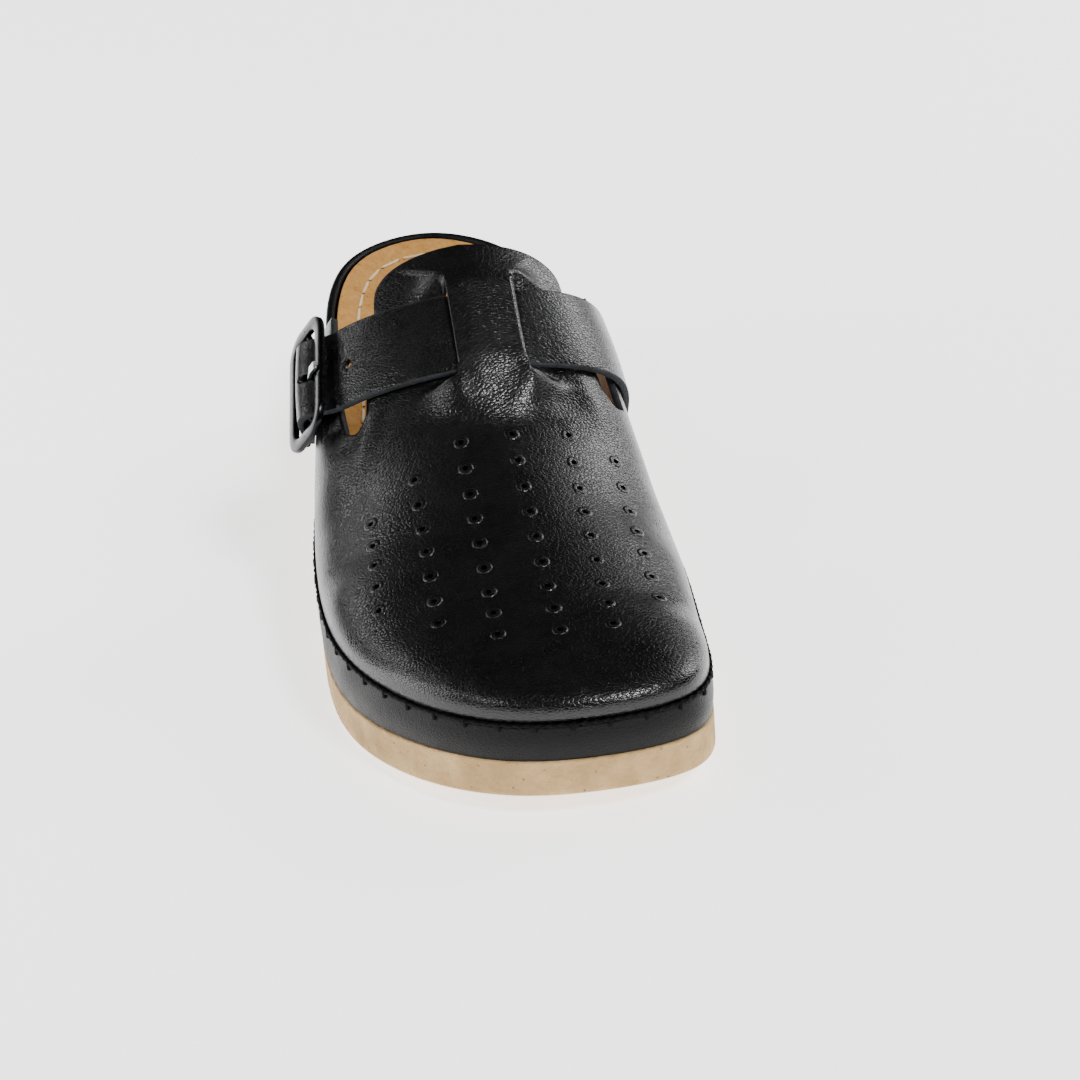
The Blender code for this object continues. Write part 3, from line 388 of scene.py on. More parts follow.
class Skin:
    """A mesh gathered from grids of points in millimetres."""

    def __init__(self) -> None:
        """Start with no points."""
        self.points: list[Array] = []
        self.faces: Faces = []
        self.slots: list[Array] = []
        self.count = 0

    def add(self, grid: Array, wrap: bool = False, keep: Array | None = None, slot: int = 0) -> "Skin":
        """Add one grid, or a stack of equal grids, with a quad in each cell.

        Args:
            grid: points of shape rows, columns, 3, or with a leading axis of copies.
            wrap: whether the last column joins the first.
            keep: which cells get a face; all of them if left out.
            slot: the material slot of the faces.

        Returns:
            This skin.
        """
        stack = grid if grid.ndim == 4 else grid[None]
        copies, rows, columns = stack.shape[:3]
        index = np.arange(copies * rows * columns).reshape(copies, rows, columns) + self.count
        over = np.concatenate([index, index[:, :, :1]], axis=2) if wrap else index
        corners = [over[:, :-1, :-1], over[:, 1:, :-1], over[:, 1:, 1:], over[:, :-1, 1:]]
        quads = np.stack(corners, axis=-1)
        if keep is not None:
            quads = quads[:, keep]
        quads = quads.reshape(-1, 4)
        self.points.append(stack.reshape(-1, 3))
        self.faces.append(quads)
        self.slots.append(np.full(len(quads), slot))
        self.count += copies * rows * columns
        return self

    def build(self, name: str, finishes: list[bpy.types.Material], slot: Slot,
              upward: bool = False, sharp: float = 50.0) -> bpy.types.Object:
        """Make the object: join equal points, point the faces out, and dress it.

        Args:
            name: the piece's name.
            finishes: its materials, in slot order.
            slot: the record's slot; not used.
            upward: whether this is an open sheet whose faces look up.
            sharp: the angle in degrees past which an edge is shaded sharp.

        Returns:
            The object, at the origin, riding on the one body.
        """
        mesh = bpy.data.meshes.new(name)
        mesh.from_pydata((np.vstack(self.points) * MM).tolist(), [], np.vstack(self.faces).tolist())
        for finish in finishes:
            mesh.materials.append(finish)
        mesh.polygons.foreach_set("material_index", np.concatenate(self.slots))
        work = bmesh.new()
        work.from_mesh(mesh)
        bmesh.ops.remove_doubles(work, verts=work.verts, dist=JOIN_MM * MM)
        bmesh.ops.dissolve_degenerate(work, edges=work.edges, dist=SLIVER_MM * MM)
        bmesh.ops.recalc_face_normals(work, faces=work.faces)
        if upward and sum(face.normal.z * face.calc_area() for face in work.faces) < 0:
            bmesh.ops.reverse_faces(work, faces=work.faces)
        work.to_mesh(mesh)
        work.free()
        mesh.shade_smooth()
        mesh.set_sharp_from_angle(angle=math.radians(sharp))
        piece = bpy.data.objects.new(name, mesh)
        bpy.context.collection.objects.link(piece)
        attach(piece, "root")
        LOG.info("%s: %d faces", name, len(mesh.polygons))
        return piece


def cap(ring: Array, across: int) -> Array:
    """A plan grid over a ring: each row joins the two sides' points of one y.

    Args:
        ring: plan points from the toe tip round to the heel tip and back.
        across: how many cells lie between the two sides.

    Returns:
        Plan points of shape rows, across + 1, 2; its first and last rows are the two tips.
    """
    half = len(ring) // 2
    left = ring[:half + 1]
    right = np.vstack([ring[:1], ring[:half - 1:-1]])
    t = np.linspace(0, 1, across + 1)[None, :, None]
    return left[:, None] * (1 - t) + right[:, None] * t


def turned(centres: Array, axes: Array, radii: Array, heights: Array, sides: int) -> Array:
    """Turned shapes, one for each centre: a profile of radii and heights spun round an axis.

    Args:
        centres: where each stands.
        axes: each one's axis, of unit length.
        radii: the profile's radii, one row for all or one for each.
        heights: its heights along the axis, likewise.
        sides: points round.

    Returns:
        Points of shape copies, profile, sides, 3.
    """
    helper = np.where(np.abs(axes[:, 2:]) < 0.9, [[0.0, 0.0, 1.0]], [[1.0, 0.0, 0.0]])
    u = np.cross(axes, helper)
    u /= np.linalg.norm(u, axis=1)[:, None]
    v = np.cross(axes, u)
    angle = np.linspace(0, 2 * math.pi, sides, endpoint=False)
    spoke = np.cos(angle)[None, :, None] * u[:, None] + np.sin(angle)[None, :, None] * v[:, None]
    radii = np.broadcast_to(radii, (len(centres), np.shape(radii)[-1]))
    heights = np.broadcast_to(heights, radii.shape)
    return (
        centres[:, None, None] + radii[:, :, None, None] * spoke[:, None]
        + heights[:, :, None, None] * axes[:, None, None]
    )


def capsules(starts: Array, ends: Array, radius: float, sides: int = 8) -> Array:
    """Round-ended rods between pairs of points, as turned shapes.

    Args:
        starts: middles of the first round ends.
        ends: middles of the other ends, in the same order.
        radius: the rods' radius.
        sides: points round.

    Returns:
        Points of shape rods, profile, sides, 3.
    """
    along = ends - starts
    length = np.linalg.norm(along, axis=1)
    turn = np.linspace(-math.pi / 2, math.pi / 2, 8)
    shift = np.where(turn > 0, 1, 0)[None] * length[:, None]
    heights = shift + np.sin(turn) * radius
    return turned(starts, along / length[:, None], np.cos(turn) * radius, heights, sides)


def tube(path: Array, aside: Array, up: Array, radius: Array, sides: int = 10) -> Array:
    """A grid round a path: at each point a loop spanned by two directions.

    Args:
        path: the points of the middle line.
        aside: a direction square to the path at each point.
        up: the second direction.
        radius: a radius for each point of the grid, or one for all.
        sides: points round.

    Returns:
        Points of shape path, sides, 3.
    """
    angle = np.linspace(0, 2 * math.pi, sides, endpoint=False)
    spoke = np.cos(angle)[None, :, None] * aside[:, None] + np.sin(angle)[None, :, None] * up[:, None]
    radius = np.broadcast_to(radius, (len(path), sides))
    return path[:, None] + spoke * radius[..., None]


def closed_ends(grid: Array) -> Array:
    """A wrapped grid whose first and last rows are drawn in to their middles, which closes it.

    Args:
        grid: points of shape rows, columns, 3.

    Returns:
        The grid with one more row at each end.
    """
    first = np.broadcast_to(grid[:1].mean(axis=1, keepdims=True), grid[:1].shape)
    last = np.broadcast_to(grid[-1:].mean(axis=1, keepdims=True), grid[-1:].shape)
    return np.concatenate([first, grid, last])


def add(tree: bpy.types.NodeTree, kind: str, inputs: dict, stops: tuple = (),
        **settings: object) -> bpy.types.Node:
    """Add a node with its settings, colour stops, values and links.

    Args:
        tree: the material's node tree.
        kind: the node's type name.
        inputs: a value or an output socket for each input, by name or number.
        stops: places and sRGB hex colours of a colour ramp.
        settings: the node's own properties.

    Returns:
        The node.
    """
    node = tree.nodes.new(kind)
    for name, value in settings.items():
        setattr(node, name, value)
    for name, value in inputs.items():
        if isinstance(value, bpy.types.NodeSocket):
            tree.links.new(value, node.inputs[name])
        else:
            node.inputs[name].default_value = value
    for index, (place, colour) in enumerate(stops):
        ramp = node.color_ramp.elements
        stop = ramp[index] if index < 2 else ramp.new(place)
        stop.position = place
        stop.color = to_linear(colour)
    return node


def blank(name: str) -> tuple[bpy.types.Material, bpy.types.NodeTree, bpy.types.NodeSocket]:
    """A material with an empty tree, and the object coordinates in metres.

    Args:
        name: the material's name.

    Returns:
        The material, its tree and the coordinates' socket.
    """
    material = bpy.data.materials.new(name)
    material.use_nodes = True
    material.node_tree.nodes.clear()
    place = add(material.node_tree, "ShaderNodeTexCoord", {})
    return material, material.node_tree, place.outputs["Object"]


def surface(tree: bpy.types.NodeTree, inputs: dict) -> None:
    """Add the Principled shader and the output."""
    shader = add(tree, "ShaderNodeBsdfPrincipled", inputs)
    add(tree, "ShaderNodeOutputMaterial", {"Surface": shader.outputs["BSDF"]})


@dataclass(frozen=True)
class GrainLeather:
    """Finished full-grain leather: dyed through, rolled and polished, with fine stretched wrinkles.

    The grain breaks the gloss into many small glints, and a thin coat keeps a clear highlight.
    """

    name: str
    dark: str
    light: str
    grain_mm: float = 0.72
    stretch: float = 0.62
    grain_depth_mm: float = 0.105
    roughness: tuple[float, float] = (0.27, 0.35)
    coat: float = 0.46
    coat_roughness: float = 0.15
    specular: float = 0.22
    slack_mm: float = 0.3
    lean: tuple[float, float, float] = (0.5, 0.2, 0.75)

    def make(self) -> bpy.types.Material:
        """Build the material: two sizes of wrinkle and a slow wave in bump, and uneven polish.

        Returns:
            The material.
        """
        material, tree, place = blank(self.name)
        # The wrinkles run slantwise across the shoe, so the pattern is turned and stretched
        lean = add(tree, "ShaderNodeMapping", {
            "Vector": place, "Rotation": self.lean, "Scale": (self.stretch, 1.0, 1.0)})
        warp = add(tree, "ShaderNodeTexNoise", {
            "Vector": lean.outputs[0], "Scale": 400 / self.grain_mm, "Detail": 2.0, "Roughness": 0.6})
        bend = add(tree, "ShaderNodeVectorMath", {
            0: warp.outputs["Color"], 1: (self.grain_mm * MM * 0.9,) * 3}, operation="MULTIPLY")
        shifted = add(tree, "ShaderNodeVectorMath", {
            0: lean.outputs[0], 1: bend.outputs[0]}, operation="ADD")
        # One cell is a wrinkle of about a millimetre, drawn as coarse as it shows
        cells = add(tree, "ShaderNodeTexVoronoi", {
            "Vector": shifted.outputs[0], "Scale": 1000 / self.grain_mm}, feature="DISTANCE_TO_EDGE")
        rounded = add(tree, "ShaderNodeMath", {0: cells.outputs["Distance"], 1: 0.35}, operation="POWER")
        fine = add(tree, "ShaderNodeTexNoise", {
            "Vector": lean.outputs[0], "Scale": 2200 / self.grain_mm, "Detail": 3.0})
        wave = add(tree, "ShaderNodeTexNoise", {"Vector": place, "Scale": 110.0, "Detail": 2.0})
        grain = add(tree, "ShaderNodeBump", {
            "Height": rounded.outputs[0], "Strength": 0.8, "Distance": self.grain_depth_mm * MM})
        pores = add(tree, "ShaderNodeBump", {
            "Height": fine.outputs["Fac"], "Normal": grain.outputs[0], "Strength": 0.5,
            "Distance": self.grain_depth_mm * 0.7 * MM})
        slack = add(tree, "ShaderNodeBump", {
            "Height": wave.outputs["Fac"], "Normal": pores.outputs[0], "Strength": 0.4,
            "Distance": self.slack_mm * MM})
        polish = add(tree, "ShaderNodeMapRange", {
            "Value": wave.outputs["Fac"], "From Min": 0.3, "From Max": 0.7,
            "To Min": self.roughness[0], "To Max": self.roughness[1]})
        tint = add(tree, "ShaderNodeValToRGB", {"Fac": wave.outputs["Fac"]},
                   stops=((0.35, self.dark), (0.7, self.light)))
        surface(tree, {
            "Base Color": tint.outputs[0], "Roughness": polish.outputs[0], "Normal": slack.outputs[0],
            "IOR": 1.5, "Specular IOR Level": self.specular, "Coat Weight": self.coat,
            "Coat Roughness": self.coat_roughness, "Coat Normal": pores.outputs[0]})
        return material


@dataclass(frozen=True)
class Fibre:
    """Raw leather fibre: a cut edge, a flesh side or a natural sock, matt with short nap and specks."""

    name: str
    dark: str
    light: str
    fibre_mm: float = 0.6
    depth_mm: float = 0.12
    roughness: float = 0.85
    specks: bool = False
    speck: str = "#7a4f22"
    cloud_mm: float = 6.25
    specular: float = 0.3

    def make(self) -> bpy.types.Material:
        """Build the material: mottled colour at two scales, and nap in bump.

        Returns:
            The material.
        """
        material, tree, place = blank(self.name)
        nap = add(tree, "ShaderNodeTexNoise", {
            "Vector": place, "Scale": 1000 / self.fibre_mm, "Detail": 4.0, "Roughness": 0.65})
        cloud = add(tree, "ShaderNodeTexNoise", {
            "Vector": place, "Scale": 1000 / self.cloud_mm, "Detail": 5.0, "Roughness": 0.7})
        both = add(tree, "ShaderNodeMath", {
            0: nap.outputs["Fac"], 1: cloud.outputs["Fac"]}, operation="ADD")
        stops = ((0.38, self.dark), (0.62, self.light))
        half = add(tree, "ShaderNodeMath", {0: both.outputs[0], 1: 0.5}, operation="MULTIPLY")
        tint = add(tree, "ShaderNodeValToRGB", {"Fac": half.outputs[0]}, stops=stops)
        colour = tint.outputs[0]
        if self.specks:
            # Dark specks of about half a millimetre, some three millimetres apart
            dots = add(tree, "ShaderNodeTexVoronoi", {"Vector": place, "Scale": 330.0})
            here = add(tree, "ShaderNodeMapRange", {
                "Value": dots.outputs["Distance"], "From Min": 0.10, "From Max": 0.22,
                "To Min": 0.45, "To Max": 0.0})
            specks_and_shade = add(tree, "ShaderNodeMix", {
                0: here.outputs[0], 6: colour, 7: to_linear(self.speck)}, data_type="RGBA")
            colour = specks_and_shade.outputs[2]
        bump = add(tree, "ShaderNodeBump", {
            "Height": nap.outputs["Fac"], "Strength": 0.8, "Distance": self.depth_mm * MM})
        surface(tree, {
            "Base Color": colour, "Roughness": self.roughness, "Normal": bump.outputs[0],
            "Specular IOR Level": self.specular})
        return material


@dataclass(frozen=True)
class MouldedFoam:
    """Moulded polyurethane foam: a matt cast skin, faintly pebbled, with open pinholes darkened by painted
    shade.
    """

    name: str = "polyurethane_foam"
    light: str = "#c6a473"
    dark: str = "#987a4d"
    pebble_mm: float = 1.3
    pinhole_mm: float = 2.7
    pinhole_shade: str = "#7a5c36"
    pebble_depth_mm: float = 0.6

    def make(self) -> bpy.types.Material:
        """Build the material: pebbles and pits in bump, and painted shade darkening the pinholes in colour.

        Returns:
            The material.
        """
        material, tree, place = blank(self.name)
        pebble = add(tree, "ShaderNodeTexNoise", {
            "Vector": place, "Scale": 1000 / self.pebble_mm, "Detail": 3.0, "Roughness": 0.6})
        cloud = add(tree, "ShaderNodeTexNoise", {
            "Vector": place, "Scale": 60.0, "Detail": 5.0, "Roughness": 0.7})
        pits = add(tree, "ShaderNodeTexVoronoi", {
            "Vector": place, "Scale": 1000 / self.pinhole_mm, "Randomness": 1.0})
        # Painted shade: the pinholes are darkened in colour, standing in for the shade inside each pit
        hole = add(tree, "ShaderNodeMapRange", {
            "Value": pits.outputs["Distance"], "From Min": 0.06, "From Max": 0.13,
            "To Min": 0.75, "To Max": 0.0})
        tint = add(tree, "ShaderNodeValToRGB", {"Fac": cloud.outputs["Fac"]},
                   stops=((0.3, self.dark), (0.65, self.light)))
        specks_and_shade = add(tree, "ShaderNodeMix", {
            0: hole.outputs[0], 6: tint.outputs[0], 7: to_linear(self.pinhole_shade)}, data_type="RGBA")
        skin = add(tree, "ShaderNodeBump", {
            "Height": pebble.outputs["Fac"], "Strength": 1.0, "Distance": self.pebble_depth_mm * MM})
        pitted = add(tree, "ShaderNodeBump", {
            "Height": hole.outputs[0], "Normal": skin.outputs[0], "Strength": 0.8, "Distance": 0.4 * MM},
            invert=True)
        surface(tree, {
            "Base Color": specks_and_shade.outputs[2], "Roughness": 0.72, "Specular IOR Level": 0.25,
            "Normal": pitted.outputs[0]})
        return material


@dataclass(frozen=True)
class Plated:
    """Plated metal, polished after casting: a mirror broken by faint waves and hairline scratches."""

    name: str
    colour: str
    roughness: float

    def make(self) -> bpy.types.Material:
        """Build the material: uneven polish and shallow waves.

        Returns:
            The material.
        """
        material, tree, place = blank(self.name)
        wave = add(tree, "ShaderNodeTexNoise", {"Vector": place, "Scale": 350.0, "Detail": 2.0})
        hair = add(tree, "ShaderNodeMapping", {"Vector": place, "Scale": (900.0, 900.0, 9000.0)})
        scratch = add(tree, "ShaderNodeTexNoise", {
            "Vector": hair.outputs[0], "Scale": 1.0, "Detail": 3.0})
        polish = add(tree, "ShaderNodeMapRange", {
            "Value": scratch.outputs["Fac"], "From Min": 0.35, "From Max": 0.7,
            "To Min": self.roughness * 0.8, "To Max": self.roughness * 1.4})
        bump = add(tree, "ShaderNodeBump", {
            "Height": wave.outputs["Fac"], "Strength": 0.5, "Distance": 0.06 * MM})
        surface(tree, {
            "Base Color": to_linear(self.colour), "Metallic": 1.0, "Roughness": polish.outputs[0],
            "Normal": bump.outputs[0]})
        return material


@dataclass(frozen=True)
class Finishes:
    """Every finish of the shoe, made once."""

    upper: bpy.types.Material
    wrap: bpy.types.Material
    edge: bpy.types.Material
    lining: bpy.types.Material
    sock: bpy.types.Material
    foam: bpy.types.Material
    gunmetal: bpy.types.Material
    steel: bpy.types.Material
    thread: bpy.types.Material
    cream: bpy.types.Material
    # painted shade: the near-black finish that stands for the shade inside punched and needle holes
    hole: bpy.types.Material

    @classmethod
    def make(cls) -> "Finishes":
        """Make the materials with this shoe's colours.

        Returns:
            The finishes.
        """
        return cls(
            upper=GrainLeather("black_full_grain_leather", "#030303", "#060607").make(),
            wrap=GrainLeather("black_wrap_leather", "#050506", "#0a0b0c", grain_mm=0.8, stretch=0.9,
                              grain_depth_mm=0.12, roughness=(0.36, 0.48), coat=0.03, coat_roughness=0.36,
                              specular=0.13).make(),
            edge=Fibre("raw_cut_leather_edge", "#141516", "#33363a").make(),
            lining=Fibre("leather_flesh_side", "#7d6654", "#a58d78").make(),
            sock=Fibre("natural_sock_leather", "#ac7a38", "#c59352", fibre_mm=1.4, depth_mm=0.05,
                       specks=True).make(),
            foam=MouldedFoam().make(),
            gunmetal=Plated("black_nickel_plate", "#1f2022", 0.22).make(),
            steel=Plated("nickel_plated_steel", "#c4c6c8", 0.16).make(),
            thread=Fibre("black_waxed_thread", "#020202", "#080808", fibre_mm=0.4, roughness=0.6,
                         specular=0.08).make(),
            cream=Fibre("cream_linen_thread", "#cbb48c", "#e6d6b6", fibre_mm=0.4).make(),
            # Painted shade: near black, standing in for the shade inside the punched holes and the needle
            # holes
            hole=Fibre("painted_hole_shade", "#020202", "#040404", specular=0.0).make(),
        )


@dataclass
class Outsole:
    """The foamed wedge sole."""

    bevel: float = 1.3
    edge_round: float = 0.6
    groove_width: float = 2.6
    groove_depth: float = 2.0
    groove_pitch: float = 14.0
    groove_margin: float = 8.0
    groove_taper: float = 0.6
    treads: tuple[tuple[float, float], ...] = ((0.02, 0.27), (0.56, 0.82))

    def walls(self) -> Array:
        """Rings from the foot edge's round up the side to the rounded top edge.

        Returns:
            Points of shape rings, columns, 3.
        """
        turn = np.linspace(0, math.pi / 2, 7)
        rows = [(self.bevel * (1 - math.sin(a)), self.bevel * (1 - math.cos(a)), 0.0) for a in turn]
        rows += [(0.0, self.bevel * (1 - s), s) for s in (0.33, 0.66)]
        r = self.edge_round
        rows += [(r * (1 - math.cos(a)), r * (math.sin(a) - 1), 1.0) for a in turn]
        rings = []
        for inset, lift, share in rows:
            plan = LAST.ring(inset)
            low, high = LAST.floor_z(plan[:, 1]), LAST.wall_z(plan[:, 1])
            rings.append(np.column_stack([plan, low * (1 - share) + high * share + lift]))
        return np.stack(rings)

    def cutter(self) -> bpy.types.Object:
        """The tread grooves: tapered bars across the heel and the forefoot, one to each groove.

        Returns:
            The bars, as one hidden object.
        """
        skin = Skin()
        half, reach = self.groove_width / 2, LAST.ball_width
        for low, high in self.treads:
            span = (high - low) * LAST.length - 2 * self.groove_margin
            count = int(span // self.groove_pitch) + 1
            ys = LAST.y_of((low + high) / 2) + (np.arange(count) - (count - 1) / 2) * self.groove_pitch
            deep = LAST.floor_z(ys) + self.groove_depth
            wide = np.array([-half, half, half * self.groove_taper, -half * self.groove_taper])
            y = ys[:, None, None] + wide[None, None, :]
            top = np.array([False, False, True, True])
            z = np.where(top[None, None], deep[:, None, None], -self.groove_depth)
            x = np.array([-reach, reach])[None, :, None]
            bars = np.stack(np.broadcast_arrays(x, y, z), axis=-1)
            ends = np.repeat(bars.mean(axis=2, keepdims=True), 4, axis=2)
            skin.add(np.concatenate([ends[:, :1], bars, ends[:, 1:]], axis=1), wrap=True)
        item = skin.build("tread_cutter", [], Slot.FOAM)
        item.hide_render = True
        item.hide_viewport = True
        return item

    def build(self, finishes: Finishes) -> bpy.types.Object:
        """Make the sole and cut its tread.

        Args:
            finishes: the shoe's finishes.

        Returns:
            The sole.
        """
        walls = self.walls()
        floor, top = cap(walls[0, :, :2], 16), cap(walls[-1, :, :2], 8)
        skin = Skin().add(walls, wrap=True)
        skin.add(np.dstack([floor, LAST.floor_z(floor[..., 1])]))
        skin.add(np.dstack([top, LAST.wall_z(top[..., 1])]))
        sole = skin.build("outsole_foam", [finishes.foam], Slot.FOAM)
        cutter = self.cutter()
        cut = sole.modifiers.new("tread", "BOOLEAN")
        cut.object = cutter
        cut.operation = "DIFFERENCE"
        bpy.context.view_layer.update()
        cutter.hide_viewport = False
        solved = sole.evaluated_get(bpy.context.evaluated_depsgraph_get())
        mesh = bpy.data.meshes.new_from_object(solved)
        sole.modifiers.clear()
        sole.data = mesh
        bpy.data.objects.remove(cutter)
        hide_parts("outsole")
        return sole


@dataclass
class Footbed:
    """The leather-wrapped footbed, its sock and the sock's stitches."""

    lip: float = 2.8
    lip_wall: float = 2.4
    wrap_inset: float = 0.3
    bulge: float = 0.5
    lip_round: float = 1.0
    cup_depth: float = 8.0
    cup_radius: float = 17.0
    sock_play: float = 0.6
    sock_thickness: float = 1.6
    stitch_inset: float = 9.2
    stitch_pitch: float = 8.4
    stitch_length: float = 6.2
    stitch_radius: float = 0.42
    stitch_lift: float = 0.12
    needle_radii: tuple[float, ...] = (0.0, 0.5, 0.6, 0.0)
    needle_heights: tuple[float, ...] = (0.08, 0.08, 0.0, -0.1)
    sock_round: float = 0.5

    def cup_z(self, plan: Array) -> Array:
        """The dished face: it falls from the lip as a quarter sine over the cup's radius.

        Args:
            plan: plan points, with a last axis of 2.

        Returns:
            The heights there.
        """
        edge = LAST.inset(self.lip)
        flat = plan.reshape(-1, 2)
        away = np.sqrt(((flat[:, None] - edge[None]) ** 2).sum(axis=2)).min(axis=1)
        fall = np.sin(np.clip(away / self.cup_radius, 0, 1) * math.pi / 2)
        depth = read_table(LAST.sole_sections, 5, LAST.share_of(flat[:, 1])) * self.cup_depth
        z = LAST.rim_z(flat[:, 1]) - self.lip_wall - fall * (depth - self.lip_wall)
        return z.reshape(plan.shape[:-1])

    def build_band(self, finishes: Finishes) -> bpy.types.Object:
        """The wrapped edge: a softly bulged side, a rolled lip and the dish.

        Args:
            finishes: the shoe's finishes.

        Returns:
            The wrapped footbed.
        """
        up = np.linspace(0, 1, 10)
        rows = [(self.wrap_inset - self.bulge * math.sin(math.pi * s), s, 0.0) for s in up]
        turn = np.linspace(0, math.pi, 13)[1:]
        middle, half = (self.lip + self.wrap_inset) / 2, (self.lip - self.wrap_inset) / 2
        rows += [(middle - half * math.cos(a), 1.0, self.lip_round * math.sin(a)) for a in turn]
        rings = []
        for inset, share, lift in rows:
            plan = LAST.ring(inset)
            low = LAST.wall_z(plan[:, 1]) + LAST.gap
            high = LAST.rim_z(plan[:, 1]) - self.lip_round
            rings.append(np.column_stack([plan, low * (1 - share) + high * share + lift]))
        foot = LAST.ring(self.lip + 0.1)
        rings.append(np.column_stack([foot, LAST.rim_z(foot[:, 1]) - self.lip_wall]))
        walls = np.stack(rings)
        dish, floor = cap(foot, 48), cap(walls[0, :, :2], 8)
        dish_z = self.cup_z(dish)
        dish_z[:, [0, -1]] = LAST.rim_z(dish[:, [0, -1], 1]) - self.lip_wall
        skin = Skin().add(walls, wrap=True).add(np.dstack([dish, dish_z]))
        skin.add(np.dstack([floor, LAST.wall_z(floor[..., 1]) + LAST.gap]))
        band = skin.build("footbed_wrap", [finishes.wrap], Slot.WRAP)
        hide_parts("footbed_band")
        return band

    def build_sock(self, finishes: Finishes) -> bpy.types.Object:
        """The sock leather in the dish, with rounded edges.

        Args:
            finishes: the shoe's finishes.

        Returns:
            The sock.
        """
        inset = self.lip + 0.1 + self.sock_play
        turn = np.linspace(0, math.pi / 2, 5)
        edge = self.sock_round
        rings = []
        for lift, more in [(0.0, 0.0)] + [
            (self.sock_thickness - edge + edge * math.sin(a), edge * (1 - math.cos(a))) for a in turn
        ]:
            plan = LAST.ring(inset + more)
            rings.append(np.column_stack([plan, self.cup_z(plan) + self.sock_play + lift]))
        walls = np.stack(rings)
        face, back = cap(walls[-1, :, :2], 48), cap(walls[0, :, :2], 24)
        skin = Skin().add(walls, wrap=True)
        skin.add(np.dstack([face, self.cup_z(face) + self.sock_play + self.sock_thickness]))
        skin.add(np.dstack([back, self.cup_z(back) + self.sock_play]))
        sock = skin.build("insole_sock", [finishes.sock], Slot.SOCK)
        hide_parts("insole")
        return sock

    def build_stitches(self, finishes: Finishes) -> bpy.types.Object:
        """Long cream stitches round the sock, with a needle hole at each end of every stitch, each hole a
        small near-black nub of painted shade.

        Args:
            finishes: the shoe's finishes.

        Returns:
            The stitches.
        """
        path = LAST.inset(self.stitch_inset)
        path = np.vstack([path, path[:1]])
        step = np.linalg.norm(np.diff(path, axis=0), axis=1)
        run = np.concatenate([[0], np.cumsum(step)])
        count = int(run[-1] // self.stitch_pitch)
        at = np.arange(count) * run[-1] / count
        ends = []
        for shift in (0.0, self.stitch_length):
            spot = np.stack([np.interp((at + shift) % run[-1], run, path[:, k]) for k in (0, 1)], axis=1)
            z = self.cup_z(spot) + self.sock_play + self.sock_thickness
            ends.append(np.column_stack([spot, z + self.stitch_lift]))
        skin = Skin().add(capsules(ends[0], ends[1], self.stitch_radius), wrap=True)
        # The needle holes are small nubs in the near-black finish: painted shade for the depth of each hole
        holes = np.vstack(ends) - [0, 0, 0.1]
        upward = np.broadcast_to([0.0, 0.0, 1.0], holes.shape)
        profile = np.array(self.needle_radii), np.array(self.needle_heights)
        skin.add(turned(holes, upward, *profile, 8), wrap=True, slot=1)
        return skin.build("sock_stitches", [finishes.cream, finishes.hole], Slot.SOCK)


@dataclass(frozen=True)
class StrapLine:
    """The strap's sizes and place, and the bridge that it runs under."""

    width: float = 23.0
    thickness: float = 1.8
    slope: float = 35.0
    dip: float = 0.6
    at: float = 0.546
    bridge_width: float = 18.0
    bridge_shift: float = 3.3


STRAP_LINE = StrapLine()


@dataclass(frozen=True)
class Fold:
    """A soft ridge (height above 0) or trough in the leather, placed in plan by its middle."""

    x: float
    y: float
    length: float
    width: float
    turn: float
    height: float

    def lift(self, points: Array) -> Array:
        """Height at each point: a bell over the distances along and across the fold.

        Args:
            points: points of shape count, 3.

        Returns:
            A height for each point.
        """
        angle = math.radians(self.turn)
        dx, dy = points[:, 0] - self.x, points[:, 1] - self.y
        along = (dx * math.cos(angle) + dy * math.sin(angle)) / self.length
        across = (dy * math.cos(angle) - dx * math.sin(angle)) / self.width
        return self.height * np.exp(-(along ** 2) - across ** 2)


